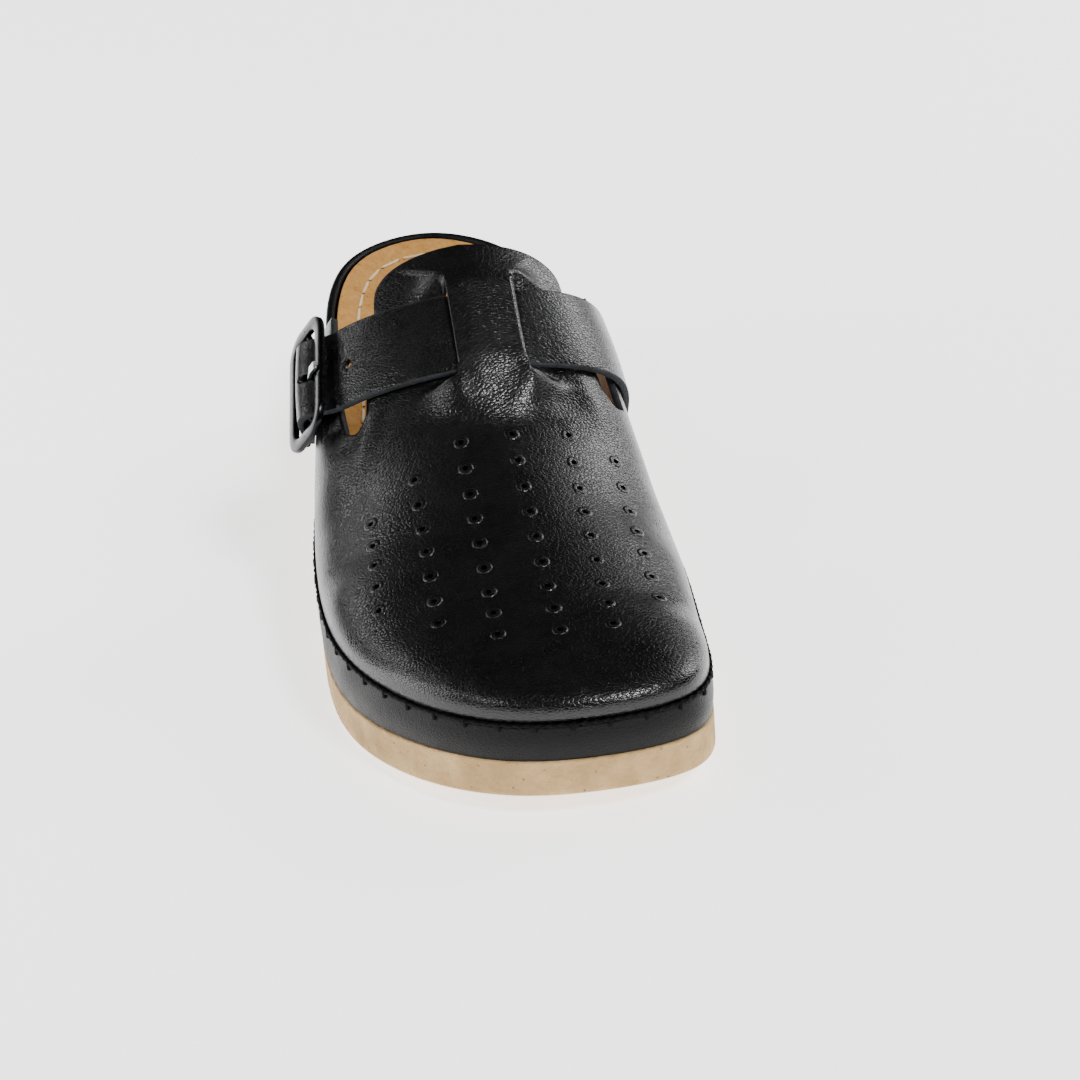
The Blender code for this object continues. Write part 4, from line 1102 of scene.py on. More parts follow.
@dataclass
class Upper:
    """The hollow upper: one leather wall with strap slots, side notches, tongue and wings."""

    line: StrapLine = STRAP_LINE
    leather: float = 1.8
    slot_length: float = 32.0
    slot_gap: float = 0.8
    slot_open: tuple[float, float] = (0.11, 0.87)
    bridge_ramp: float = 10.0
    bridge_settle: float = 5.0
    slot_sink: float = 3.5
    bridge_spread: float = 6.0
    notch_share: float = 0.19
    notch_round: float = 2.4
    notch_reach: float = 9.0
    tip_at: float = 0.460
    heads_at: tuple[float, float] = (0.452, 0.462)
    squareness: float = 0.5
    foot_at: float = 0.395
    wing_sweep: float = 1.3
    fan_crowding: float = 1.7
    seam_hold: tuple[float, float] = (1.0, 6.0)
    # cells across: half the bridge, slot, tongue, notch, wall
    columns: tuple[int, ...] = (12, 1, 18, 8, 22)
    # rows along: toe, vamp before the slot, slot before the notch, notch, tongue end, wing
    rows: tuple[int, ...] = (46, 56, 12, 34, 26, 44)
    cut_edges: Table = (
        # at, lateral tongue, lateral wing, medial tongue, medial wing
        (0.405, 0.48, 0.89, 0.58, 0.87),
        (0.460, 0.53, 0.86, 0.63, 0.89),
        (0.500, 0.575, 0.84, 0.69, 0.90),
        (0.546, 0.63, 0.81, 0.755, 0.91),
        (0.592, 0.66, 0.77, 0.80, 0.92),
        (0.653, 0.69, 0.80, 0.79, 0.91),
        (0.836, 0.72, 0.82, 0.76, 0.87),
    )
    folds: tuple[Fold, ...] = (
        Fold(14.5, -113.0, 7.0, 2.6, 70.0, 0.9),
        Fold(11.0, -121.5, 6.0, 3.0, 35.0, 0.7),
        Fold(17.5, -122.0, 7.0, 2.8, 20.0, -0.6),
        Fold(-7.5, -119.5, 5.0, 2.4, 150.0, 0.7),
        Fold(-12.0, -124.0, 8.0, 3.0, 165.0, -0.45),
        Fold(3.0, -130.0, 12.0, 4.0, 5.0, -0.4),
        Fold(-30.0, -118.0, 9.0, 3.0, 60.0, 0.5),
        Fold(27.0, -116.0, 9.0, 3.5, 110.0, 0.5),
        Fold(-36.0, -135.0, 14.0, 4.0, 80.0, -0.4),
        Fold(10.0, -212.0, 14.0, 4.0, 5.0, -0.35),
    )

    def slot_y(self, share: Array) -> Array:
        """The y at a share of the slot's length, from its toe end to its heel end."""
        run = self.slot_length * math.cos(math.radians(self.line.slope))
        return LAST.y_of(self.line.at) + (np.asarray(share) - 0.5) * run

    def edges(self, y: Array, side: Side) -> tuple[Array, Array]:
        """Shares out from the crest of the tongue's edge and of the wing's edge.

        Args:
            y: places along the shoe.
            side: which side of the shoe.

        Returns:
            The tongue's shares and the wing's shares.
        """
        first = 1 if side is Side.LATERAL else 3
        s = LAST.share_of(y)
        return read_table(self.cut_edges, first, s), read_table(self.cut_edges, first + 1, s)

    def angles(self, y: Array, side: Side) -> Array:
        """Sweep angles of every column at each y, from the crest out to the seam.

        Args:
            y: places along the shoe.
            side: which side of the shoe.

        Returns:
            Angles of shape places, columns.
        """
        v = LAST.section(y, side)
        tongue, wing = self.edges(y, side)
        reach = np.abs(v["seam_x"] - v["crest"])
        middle = side.value * (self.line.bridge_shift - v["crest"]) + self.line.bridge_width / 2
        slot = [(middle - self.slot_gap / 2) / reach, (middle + self.slot_gap / 2) / reach]
        marks = [np.zeros_like(y), *slot, tongue, wing]
        parts = [marks[0][:, None]]
        for low, high, count in zip(marks[:-1], marks[1:], self.columns):
            t = np.linspace(0, 1, count + 1)[1:]
            parts.append(low[:, None] * (1 - t) + high[:, None] * t)
        out = np.concatenate(parts, axis=1)
        angle = np.arccos(np.clip(out, 0, 1) ** (v["round"][:, None] / 2))
        down = np.linspace(1, 0, self.columns[-1] + 1)[1:]
        return np.concatenate([angle, angle[:, -1:] * down], axis=1)

    def outs(self, y: Array, side: Side) -> Array:
        """Shares out from the crest of every column at each y."""
        roundness = LAST.section(y, side)["round"][:, None]
        return np.maximum(np.cos(self.angles(y, side)), 0) ** (2 / roundness)

    def raised(self, points: Array, y: Array) -> Array:
        """Lift the bridge over the strap, and swell the leather round the ends of the slots.

        The lift eases in over a run before each slot end and a shorter one past it. Beside the
        bridge it fades as a bell, and sinks again past the slot's end to let the strap by.

        Args:
            points: points of the upper's face, of shape rows, columns, 3.
            y: each row's y at the crest.

        Returns:
            The same points, lifted.
        """
        slope = math.cos(math.radians(self.line.slope))
        height = (4 * LAST.gap + self.line.thickness + self.leather - self.line.dip) / slope
        start, end = self.slot_y(0.0), self.slot_y(1.0)
        depth = np.minimum(y - start, end - y)
        rise = ease((depth + self.bridge_ramp) / (self.bridge_ramp + self.bridge_settle))[:, None]
        sink = (1 - ease(depth / self.slot_sink))[:, None]
        aside = np.maximum(np.abs(points[..., 0] - self.line.bridge_shift) - self.line.bridge_width / 2, 0)
        swell = rise * sink * np.exp(-((aside / self.bridge_spread) ** 2))
        swell[:, :self.columns[0] + 1] = rise
        points[..., 2] += swell * height
        return points

    def side_grids(self, side: Side) -> list[tuple[Array, Array | None]]:
        """Grids of one half: toe fan, vamp with slots and notch, tongue end and wing.

        Args:
            side: which side of the shoe.

        Returns:
            Each grid with its mask of kept cells.
        """
        slot_column, slot, tongue, notch, wall = self.columns
        tongue_column = slot_column + slot + tongue
        wing_column = tongue_column + notch
        toe_rows, vamp_rows, slot_rows, notch_rows, end_rows, wing_rows = self.rows
        hub_y = float(LAST.y_of(LAST.fan_at))
        toe_y = float(LAST.seams[side][0, 1])
        turn = np.linspace(0, 1, toe_rows)
        fan_y = toe_y + (hub_y - toe_y) * turn ** self.fan_crowding
        hub = {each: self.outs(np.array([hub_y]), each)[0] for each in Side}
        shared = sum(hub.values()) / 2
        fan_out = shared + (hub[side] - shared) * turn[:, None]
        fan = LAST.toe_point(fan_y[:, None], fan_out, side)
        # Both halves share the line to the toe's tip
        fan[0] = sum(LAST.toe_point(fan_y[:1, None], shared[None], each)[0] for each in Side) / 2
        grids: list[tuple[Array, Array | None]] = [(fan, None)]

        start, notch_y = float(self.slot_y(0.0)), float(self.slot_y(self.notch_share))
        ys = np.concatenate([
            np.linspace(hub_y, start, vamp_rows), np.linspace(start, notch_y, slot_rows)[1:],
            np.linspace(notch_y, float(self.slot_y(1.0)), notch_rows)[1:]])
        around = np.clip((np.arange(wing_column + wall + 1) - tongue_column) / notch, 0, 1)
        dent = np.sin(around * math.pi) * self.notch_round
        near = ease(1 - np.abs(ys - notch_y) / self.notch_reach)
        rows = ys[:, None] - near[:, None] * dent[None]
        body = self.raised(LAST.point(rows, self.angles(ys, side), side), ys)
        keep = np.ones((len(ys) - 1, body.shape[1] - 1), bool)
        first, last = self.slot_y(np.array(self.slot_open))
        opened = (ys[:-1] >= first) & (ys[:-1] <= last)
        keep[opened, slot_column] = False
        past = ys[:-1] >= notch_y - 1e-6
        keep[past, tongue_column:] = False
        grids.append((body, keep))

        end_y = float(self.slot_y(1.0))
        base = self.outs(np.array([end_y]), side)[0, :tongue_column + 1]
        share = np.linspace(0, 1, end_rows)[:, None]
        bend = np.linspace(math.pi / 2, 0, tongue_column + 1)
        tip = float(LAST.y_of(self.tip_at))
        edge = float(self.edges(np.array(end_y), side)[0])
        end_out = edge * np.maximum(np.cos(bend), 0) ** self.squareness
        end_ys = end_y + (tip - end_y) * np.sin(bend) ** self.squareness
        tongue_ys = end_y + (end_ys - end_y) * share
        mixed = base + (end_out - base) * share
        roundness = LAST.section(tongue_ys, side)["round"]
        points = LAST.point(tongue_ys, np.arccos(np.clip(mixed, 0, 1) ** (roundness / 2)), side)
        grids.append((self.raised(points, tongue_ys[:, 0]), None))

        head_y = float(LAST.y_of(self.heads_at[0 if side is Side.LATERAL else 1]))
        foot_y = float(LAST.y_of(self.foot_at))
        down = np.linspace(0, 1, wall + 1)
        rear = head_y + (foot_y - head_y) * down ** self.wing_sweep
        share = np.linspace(0, 1, wing_rows)[:, None]
        wing_ys = notch_y + (rear - notch_y) * share
        top_y = notch_y + (head_y - notch_y) * share[:, 0]
        top = np.arccos(self.edges(top_y, side)[1] ** (LAST.section(top_y, side)["round"] / 2))
        grids.append((LAST.point(wing_ys, top[:, None] * (1 - down)[None], side), None))
        return grids

    def build(self, finishes: Finishes) -> bpy.types.Object:
        """Make the wall: the outer face, its folds, and the thickness inwards.

        Args:
            finishes: the shoe's finishes.

        Returns:
            The upper.
        """
        skin = Skin()
        for side in Side:
            for grid, keep in self.side_grids(side):
                skin.add(grid, keep=keep)
        leathers = [finishes.upper, finishes.lining, finishes.edge]
        upper = skin.build("upper_leather", leathers, Slot.UPPER, upward=True)
        mesh = upper.data
        flat = np.empty(len(mesh.vertices) * 3)
        mesh.vertices.foreach_get("co", flat)
        points = flat.reshape(-1, 3) / MM
        normals = np.array([tuple(v.vector) for v in mesh.vertex_normals])
        lift = sum(fold.lift(points) for fold in self.folds)
        seam = points[:, 2] - LAST.rim_z(points[:, 1])
        hold, run = self.seam_hold
        points = points + normals * (lift * ease((seam - hold) / run))[:, None]
        mesh.vertices.foreach_set("co", (points * MM).ravel())
        mesh.update()
        wall = upper.modifiers.new("wall", "SOLIDIFY")
        wall.thickness = self.leather * MM
        wall.offset = -1.0
        wall.material_offset = 1
        wall.material_offset_rim = 2
        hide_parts("upper")
        return upper


@dataclass
class Perforations:
    """Punched holes of the toe in six columns, each hole in an embossed ring, the hole itself a near-black
    disc of painted shade.
    """

    hole_radius: float = 0.72
    ring_radius: float = 2.1
    ring_height: float = 0.2
    # first x and y, last x and y, count: each column from the instep to the toe
    columns: Table = (
        (-32.6, -143.5, -34.2, -174.6, 5),
        (-20.4, -137.4, -21.3, -186.5, 7),
        (-7.8, -131.8, -8.3, -196.1, 9),
        (5.0, -131.7, 6.0, -197.9, 9),
        (19.1, -130.2, 18.5, -197.8, 9),
        (30.2, -133.2, 31.6, -184.0, 7),
    )

    def build(self, upper: bpy.types.Object, finishes: Finishes) -> bpy.types.Object:
        """Seat the rings on the upper's face by rays from above.

        Args:
            upper: the wall that carries them.
            finishes: the shoe's finishes.

        Returns:
            The rings, each with a near-black disc of painted shade for its hole.
        """
        face = BVHTree.FromObject(upper, bpy.context.evaluated_depsgraph_get())
        seats, axes = [], []
        for x0, y0, x1, y1, count in self.columns:
            for t in np.linspace(0, 1, int(count)):
                spot = Vector((x0 + (x1 - x0) * t, y0 + (y1 - y0) * t, 150.0)) * MM
                hit, normal, _, _ = face.ray_cast(spot, Vector((0, 0, -1)))
                seats.append(hit / MM)
                axes.append(normal)
        r, h = self.ring_radius, self.ring_height
        hole = self.hole_radius
        middle = (r + hole) / 2
        radii = np.array([0.0, r, r * 0.93, middle * 1.12, middle, hole * 1.15, hole, hole])
        heights = np.array([-0.3, -0.3, 0.04, h * 0.8, h, h * 0.55, 0.1, 0.06])
        skin = Skin().add(turned(np.array(seats), np.array(axes), radii, heights, 20), wrap=True)
        # The hole is not cut through: a near-black disc in it is painted shade for the inside of the hole
        floor = np.array([hole, hole, 0.0])
        skin.add(turned(np.array(seats), np.array(axes), floor, np.array([0.06, 0.05, 0.05]), 20),
                 wrap=True, slot=1)
        return skin.build("toe_perforations", [finishes.upper, finishes.hole], Slot.UPPER)


@dataclass
class SeamThread:
    """The thick twisted thread laid in the seam, with a stitch down into the wrap at each knot."""

    radius: float = 0.5
    strand_swell: float = 0.22
    twist_pitch: float = 2.6
    step: float = 0.45
    knot_pitch: float = 8.6
    knot_radius: float = 0.55
    bar_length: float = 1.3
    foot_at: float = 0.40
    proud: float = 0.25

    def path(self, step: float) -> tuple[Array, Array]:
        """Points along the seam from the lateral wing round the toe, and the outward directions.

        Args:
            step: distance between the points.

        Returns:
            The points and their outward directions.
        """
        foot = float(LAST.y_of(self.foot_at))
        sides = LAST.chains(LAST.upper_inset)
        lateral, medial = (sides[side][sides[side][:, 1] < foot] for side in Side)
        line = np.vstack([lateral[::-1], medial[1:]])
        run = np.concatenate([[0], np.cumsum(np.linalg.norm(np.diff(line, axis=0), axis=1))])
        at = np.arange(0, run[-1], step)
        plan = np.stack([np.interp(at, run, line[:, k]) for k in (0, 1)], axis=1)
        along = np.gradient(plan, axis=0)
        along /= np.linalg.norm(along, axis=1)[:, None]
        outward = np.column_stack([along[:, 1], -along[:, 0], np.zeros(len(plan))])
        outward *= -np.sign(np.sum(outward[:, :2] * (LAST.plan.mean(axis=0) - plan)))
        spots = np.column_stack([plan, LAST.rim_z(plan[:, 1]) + LAST.gap / 2])
        return spots + outward * self.proud, outward

    def build(self, finishes: Finishes) -> bpy.types.Object:
        """The cord's radius swells and sinks with its twist; knots and bars hang on it.

        Args:
            finishes: the shoe's finishes.

        Returns:
            The thread.
        """
        spots, outward = self.path(self.step)
        up = np.broadcast_to([0.0, 0.0, 1.0], spots.shape)
        angle = np.linspace(0, 2 * math.pi, 8, endpoint=False)
        phase = np.arange(len(spots))[:, None] * self.step / self.twist_pitch * 2 * math.pi
        radius = self.radius * (1 + self.strand_swell * np.cos(2 * angle[None] - phase))
        skin = Skin().add(closed_ends(tube(spots, outward, up, radius, 8)), wrap=True)
        knots, aside = self.path(self.knot_pitch)
        feet = knots + aside * 0.15 - [0, 0, self.bar_length]
        skin.add(capsules(knots + aside * 0.1, feet, self.knot_radius), wrap=True)
        return skin.build("seam_thread", [finishes.thread], Slot.WRAP)


@dataclass
class Strap:
    """The instep strap and its bed on the upper's face."""

    line: StrapLine = STRAP_LINE
    dip_run: float = 2.4
    lateral_run: float = 61.0
    medial_run: float = 62.0
    tail_round: float = 7.0
    edge_round: float = 0.5
    crown: float = 0.25
    buckle_run: float = 44.5
    tab_thickness: float = 0.9
    bar_radius: float = 0.9
    prong_thickness: float = 1.1
    prong_reach: float = 9.0
    hump_spread: float = 4.5
    hole: float = 2.8
    hole_pitch: float = 9.5
    ramp: tuple[float, float] = (4.0, 6.0)
    cutter_depth: float = 1.5
    path_points: int = 160
    path_crowding: float = 1.6
    search: tuple[float, float] = (0.70, 0.36)
    halvings: int = 36
    near_angle: float = 0.02
    near: float = 0.5
    paths: dict[Side, tuple[Array, Array]] = field(default_factory=dict)

    def __post_init__(self) -> None:
        """Measure the strap's middle line down each side of the upper."""
        for side in Side:
            angle = math.pi / 2 * np.linspace(1, 0.0, self.path_points) ** self.path_crowding
            line = self.at_offset(angle, side, 0.0)
            steps = np.linalg.norm(np.diff(line, axis=0), axis=1)
            self.paths[side] = (np.concatenate([[0], np.cumsum(steps)]), angle)

    def at_offset(self, angle: Array, side: Side, offset: Array) -> Array:
        """The upper's point at a sweep angle that lies an offset across the strap, by bisection.

        Args:
            angle: sweep angles in radians.
            side: which side of the shoe.
            offset: distances across the strap, heel side above 0.

        Returns:
            Points, with a last axis of 3.
        """
        slope = math.radians(self.line.slope)
        across = np.array([0.0, math.cos(slope), math.sin(slope)])
        middle = float(across @ LAST.point(LAST.y_of(self.line.at), np.array(math.pi / 2), Side.LATERAL))
        low, high = (np.full(np.shape(angle), LAST.y_of(share)) for share in self.search)
        for _ in range(self.halvings):
            y = (low + high) / 2
            short = LAST.point(y, angle, side) @ across < middle + offset
            low, high = np.where(short, y, low), np.where(short, high, y)
        return LAST.point(y, angle, side)

    def bed(self, along: Array, offset: Array, lift: Array) -> Array:
        """Points over the strap's bed: along from the crest (lateral above 0), across, and out.

        Args:
            along: distances along the strap.
            offset: distances across it.
            lift: heights over the bed.

        Returns:
            Points, with a last axis of 3.
        """
        along, offset, lift = np.broadcast_arrays(*(np.asarray(v, float) for v in (along, offset, lift)))
        points = np.zeros(along.shape + (3,))
        for side in Side:
            mine = along >= 0 if side is Side.LATERAL else along < 0
            distance, angle = self.paths[side]
            here = np.interp(np.abs(along[mine]), distance, angle)
            spot = self.at_offset(here, side, offset[mine])
            inward = np.minimum(here + self.near_angle, math.pi / 2)
            outward = np.maximum(here - self.near_angle, 0.0)
            beside = offset[mine]
            around = self.at_offset(outward, side, beside) - self.at_offset(inward, side, beside)
            over = self.at_offset(here, side, beside + self.near)
            over -= self.at_offset(here, side, beside - self.near)
            normal = np.cross(around, over) * side.value
            normal /= np.linalg.norm(normal, axis=1)[:, None]
            points[mine] = spot + normal * lift[mine][:, None]
        return points

    def bar_lift(self) -> float:
        """Height of the buckle's centre bar over the wing."""
        return 2 * LAST.gap + self.tab_thickness + self.bar_radius

    def hump(self) -> float:
        """Height of the strap's underside where it rides over the bar."""
        return self.bar_lift() + self.bar_radius + self.prong_thickness + 3 * LAST.gap

    def underside(self, along: Array) -> Array:
        """Height of the underside: a dip under the bridge, a bell-shaped hump over the bar.

        Args:
            along: distances along the strap.

        Returns:
            The heights over the bed.
        """
        from_middle = np.abs(along + self.line.bridge_shift)
        under = 1 - ease((from_middle - self.line.bridge_width / 2) / self.dip_run + 1)
        past = along - self.buckle_run
        ahead, run = self.ramp
        over_tab = LAST.gap + (self.tab_thickness + LAST.gap) * ease((past + ahead) / run)
        bell = np.exp(-((past / self.hump_spread) ** 2))
        return over_tab + (self.hump() - over_tab) * bell - under * self.line.dip

    def axes(self, along: float) -> tuple[Array, Array]:
        """Origin on the bed and axes as columns: along towards the tail, across, outward.

        Args:
            along: distance along the strap.

        Returns:
            The origin and the three axes.
        """
        origin = self.bed(np.array([along]), np.array([0.0]), np.array([0.0]))[0]
        outward = self.bed(np.array([along]), np.array([0.0]), np.array([1.0]))[0] - origin
        ends = self.bed(np.array([along, along]), np.array([-4.0, 4.0]), np.array([0.0, 0.0]))
        across = ends[1] - ends[0]
        across -= outward * (across @ outward)
        across /= np.linalg.norm(across)
        return origin, np.column_stack([np.cross(outward, across), across, outward])

    def cutter(self, name: str, place: float, length: float) -> bpy.types.Object:
        """An upright oval prism through the strap.

        Args:
            name: the object's name.
            place: distance along the strap.
            length: the oval's length.

        Returns:
            The prism, hidden from the render.
        """
        origin, axes = self.axes(place)
        angle = np.linspace(0, 2 * math.pi, 28, endpoint=False)
        u = np.cos(angle) * self.hole / 2 + np.sign(np.cos(angle)) * (length - self.hole) / 2
        loop = np.column_stack([u, np.sin(angle) * self.hole / 2, np.zeros(len(u))])
        levels = np.array([-self.cutter_depth, self.hump() + 2 * self.line.thickness])
        prism = loop[None] + levels[:, None, None] * np.array([0.0, 0.0, 1.0])
        skin = Skin().add(closed_ends(prism @ axes.T + origin), wrap=True)
        item = skin.build(name, [], Slot.UPPER)
        item.hide_render = True
        return item

    def build(self, finishes: Finishes) -> bpy.types.Object:
        """A rounded strip carried along the bed, with a round tail and its punched holes.

        Args:
            finishes: the shoe's finishes.

        Returns:
            The strap.
        """
        straight = np.linspace(-self.medial_run, self.lateral_run - self.tail_round, 150)
        tail = self.lateral_run - self.tail_round * (1 - np.sin(np.linspace(0, 1.5, 16)[1:]))
        along = np.concatenate([straight, tail])
        to_end = np.clip((self.lateral_run - along) / self.tail_round, 0, 1)
        half = self.line.width / 2 - self.tail_round * (1 - np.sqrt(1 - (1 - to_end) ** 2))
        r, t = self.edge_round, self.line.thickness
        flat, turn = np.linspace(1, -1, 17), np.linspace(0, math.pi / 2, 5)
        zeros, ones = np.zeros(17), np.ones(17)
        share = np.concatenate([np.ones(5), flat, -np.ones(10), -flat, np.ones(5)])
        out = np.concatenate([np.cos(turn), zeros, -np.sin(turn), -np.cos(turn), zeros, np.sin(turn)])
        level = np.concatenate([np.ones(5), ones, np.ones(5), -np.ones(5), -ones, -np.ones(5)])
        rise = np.concatenate([np.sin(turn), ones, np.cos(turn), -np.sin(turn), -ones, -np.cos(turn)])
        offset = (half[:, None] - r) * share[None] + r * out[None]
        lift = self.underside(along)[:, None] + t / 2 + (t / 2 - r) * level[None] + r * rise[None]
        lift = lift + np.where(level > 0, self.crown * (1 - share ** 2), 0)[None]
        grid = self.bed(np.broadcast_to(along[:, None], offset.shape), offset, lift)
        cells = np.zeros(len(share), bool)
        cells[4:21] = True
        skin = Skin()
        body = closed_ends(grid)
        rim = np.ones((len(body) - 1, len(share)), bool)
        rim[:, cells] = False
        rim[0], rim[-1] = True, True
        skin.add(body, wrap=True, keep=~rim).add(body, wrap=True, keep=rim, slot=1)
        strap = skin.build("instep_strap", [finishes.upper, finishes.edge], Slot.UPPER)
        prong_hole = self.buckle_run - self.prong_reach / 4
        for name, place, length in (("prong_hole", prong_hole, 2 * self.hole),
                                    ("spare_hole", prong_hole - self.hole_pitch, self.hole * 0.8)):
            cutter = self.cutter(name + "_cutter", place, length)
            cut = strap.modifiers.new(name, "BOOLEAN")
            cut.object = cutter
            bpy.context.view_layer.update()
            solved = strap.evaluated_get(bpy.context.evaluated_depsgraph_get())
            mesh = bpy.data.meshes.new_from_object(solved)
            strap.modifiers.clear()
            strap.data = mesh
            bpy.data.objects.remove(cutter)
        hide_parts("strap")
        return strap


@dataclass
class Buckle:
    """The polished frame with its bar, the prong and the leather tab."""

    strap: Strap
    length: float = 36.0
    width: float = 20.0
    band: float = 3.6
    thickness: float = 1.6
    corner: float = 7.0
    edge: float = 0.35
    play: float = 1.3
    prong_width: float = 2.2
    tab_width: float = 19.0
    tab_length: float = 13.0
    tab_turn: tuple[float, float] = (-15.0, 270.0)
    tab_start: float = 0.12
    tab_bend: float = 4.0
    prong_turn: tuple[float, float] = (-60.0, 100.0)
    prong_round: float = 0.25
    # shares of the prong's reach, and the drop below its resting height
    prong_path: Table = ((-0.45, -0.6), (-0.7, 0.0), (-1.0, 0.0))

    def placed(self, local: Array) -> Array:
        """Points given along, across and outward from the buckle's seat, in the shoe's frame."""
        origin, axes = self.strap.axes(self.strap.buckle_run)
        return origin + local @ axes.T

    def frame_lift(self) -> float:
        """Height of the frame's middle plane over the wing."""
        return 2 * LAST.gap + self.strap.line.thickness + self.play + self.thickness / 2

    def loop(self, inset: float) -> Array:
        """A rounded rectangle, the long way across the strap, as along and across.

        Args:
            inset: how far inside the frame's outline.

        Returns:
            Points of shape count, 2.
        """
        turn = np.linspace(0, math.pi / 2, 14)
        angle = np.concatenate([turn + k * math.pi / 2 for k in range(4)])
        sign_u = np.repeat([1, -1, -1, 1], len(turn))
        sign_v = np.repeat([1, 1, -1, -1], len(turn))
        radius = self.corner - inset
        u = sign_u * (self.width / 2 - self.corner) + radius * np.cos(angle)
        v = sign_v * (self.length / 2 - self.corner) + radius * np.sin(angle)
        return np.column_stack([u, v])

    def build_frame(self, finishes: Finishes) -> bpy.types.Object:
        """The flat ribbon: a bevelled rectangle carried round the loop, and the bowed bar.

        Args:
            finishes: the shoe's finishes.

        Returns:
            The frame.
        """
        half, e, b = self.thickness / 2, self.edge, self.band
        soft = e * 0.3
        section = ((e, half), (soft, half - soft), (0, half - e), (0, e - half), (e, -half), (b - e, -half),
                   (b, e - half), (b, half - e), (b - soft, half - soft), (b - e, half))
        rings = []
        for inset, lift in section:
            plan = self.loop(inset)
            rings.append(np.column_stack([plan, np.full(len(plan), self.frame_lift() + lift)]))
        ribbon = np.stack(rings)
        skin = Skin().add(self.placed(np.concatenate([ribbon, ribbon[:1]])), wrap=True)
        reach, flat = self.length / 2 - self.band / 2, self.strap.line.width / 2 + LAST.gap
        v = np.concatenate([np.linspace(-reach, -flat, 8), np.linspace(flat, reach, 8)])
        rise = ease((np.abs(v) - flat) / (reach - flat))
        lift = self.strap.bar_lift() + (self.frame_lift() - self.strap.bar_lift()) * rise
        path = np.column_stack([np.zeros(len(v)), v, lift])
        aside, up = np.broadcast_to([1.0, 0, 0], path.shape), np.broadcast_to([0, 0, 1.0], path.shape)
        skin.add(self.placed(closed_ends(tube(path, aside, up, self.strap.bar_radius, 16))), wrap=True)
        item = skin.build("buckle_ribbon_frame", [finishes.gunmetal], Slot.BUCKLE, sharp=35.0)
        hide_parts("buckle_frame")
        return item

    def build_prong(self, finishes: Finishes) -> bpy.types.Object:
        """The prong: an eye round the bar, then a flat tongue with a blunt tip on the front bar.

        Args:
            finishes: the shoe's finishes.

        Returns:
            The prong.
        """
        reach, thick = self.strap.prong_reach, self.strap.prong_thickness
        radius = self.strap.bar_radius + LAST.gap + thick / 2
        turn = np.radians(np.linspace(*self.prong_turn, 30))
        eye = np.column_stack([radius * np.cos(turn), self.strap.bar_lift() + radius * np.sin(turn)])
        rest = self.frame_lift() + self.thickness / 2 + LAST.gap + thick / 2
        bars = np.array([(share * reach, rest + drop) for share, drop in self.prong_path])
        t = np.linspace(0, 1, 9)[1:, None]
        runs = [a * (1 - t) + b * t for a, b in zip(np.vstack([eye[-1:], bars[:-1]]), bars)]
        path = np.vstack([eye] + runs)
        along = np.gradient(path, axis=0)
        along /= np.linalg.norm(along, axis=1)[:, None]
        aside = np.column_stack([-along[:, 1], along[:, 0]])
        half, r = self.prong_width / 2, self.prong_round
        corner = np.linspace(0, math.pi / 2, 4)
        angle = np.concatenate([corner + k * math.pi / 2 for k in range(4)])
        across = np.repeat([1, -1, -1, 1], 4) * (half - r) + r * np.cos(angle)
        out = np.repeat([1, 1, -1, -1], 4) * (thick / 2 - r) + r * np.sin(angle)
        u = path[:, :1] + aside[:, :1] * out[None]
        w = path[:, 1:] + aside[:, 1:] * out[None]
        grid = np.stack(np.broadcast_arrays(u, across[None], w), axis=-1)
        skin = Skin().add(self.placed(closed_ends(grid)), wrap=True)
        item = skin.build("buckle_pin", [finishes.steel], Slot.PRONG)
        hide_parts("buckle_prong")
        return item

    def build_tab(self, finishes: Finishes) -> bpy.types.Object:
        """The tab: folded round the bar and laid on the wing, in two tongues beside the prong.

        Args:
            finishes: the shoe's finishes.

        Returns:
            The tab.
        """
        thick, bar = self.strap.tab_thickness, self.strap.bar_lift()
        inner = self.strap.bar_radius + LAST.gap
        turn = np.radians(np.linspace(*self.tab_turn, 40))
        tail = np.linspace(self.tab_start, 1.0, 16) * self.tab_length
        u_face = np.concatenate([(inner + thick) * np.cos(turn), tail])
        w_face = np.concatenate([bar + (inner + thick) * np.sin(turn), np.full(len(tail), LAST.gap)])
        u_back = np.concatenate([inner * np.cos(turn), tail])
        w_back = np.concatenate([bar + inner * np.sin(turn), np.full(len(tail), LAST.gap + thick)])
        slit = self.prong_width / 2 + LAST.gap
        skin = Skin()
        for low, high in ((-self.tab_width / 2, -slit), (slit, self.tab_width / 2)):
            across = np.linspace(low, high, 9)
            loop_u = np.repeat(np.stack([u_face, u_back], axis=1), len(across), axis=1)
            loop_w = np.repeat(np.stack([w_face, w_back], axis=1), len(across), axis=1)
            loop_v = np.broadcast_to(np.concatenate([across, across[::-1]]), loop_u.shape)
            rigid = self.placed(np.stack([loop_u, loop_v, loop_w], axis=-1))
            bent = self.strap.bed(self.strap.buckle_run + loop_u, loop_v, loop_w)
            share = ease((np.abs(loop_u) - self.strap.bar_radius) / self.tab_bend)[..., None]
            skin.add(closed_ends(rigid * (1 - share) + bent * share), wrap=True)
        item = skin.build("buckle_tab_leather", [finishes.wrap], Slot.WRAP)
        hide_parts("buckle_tab")
        return item


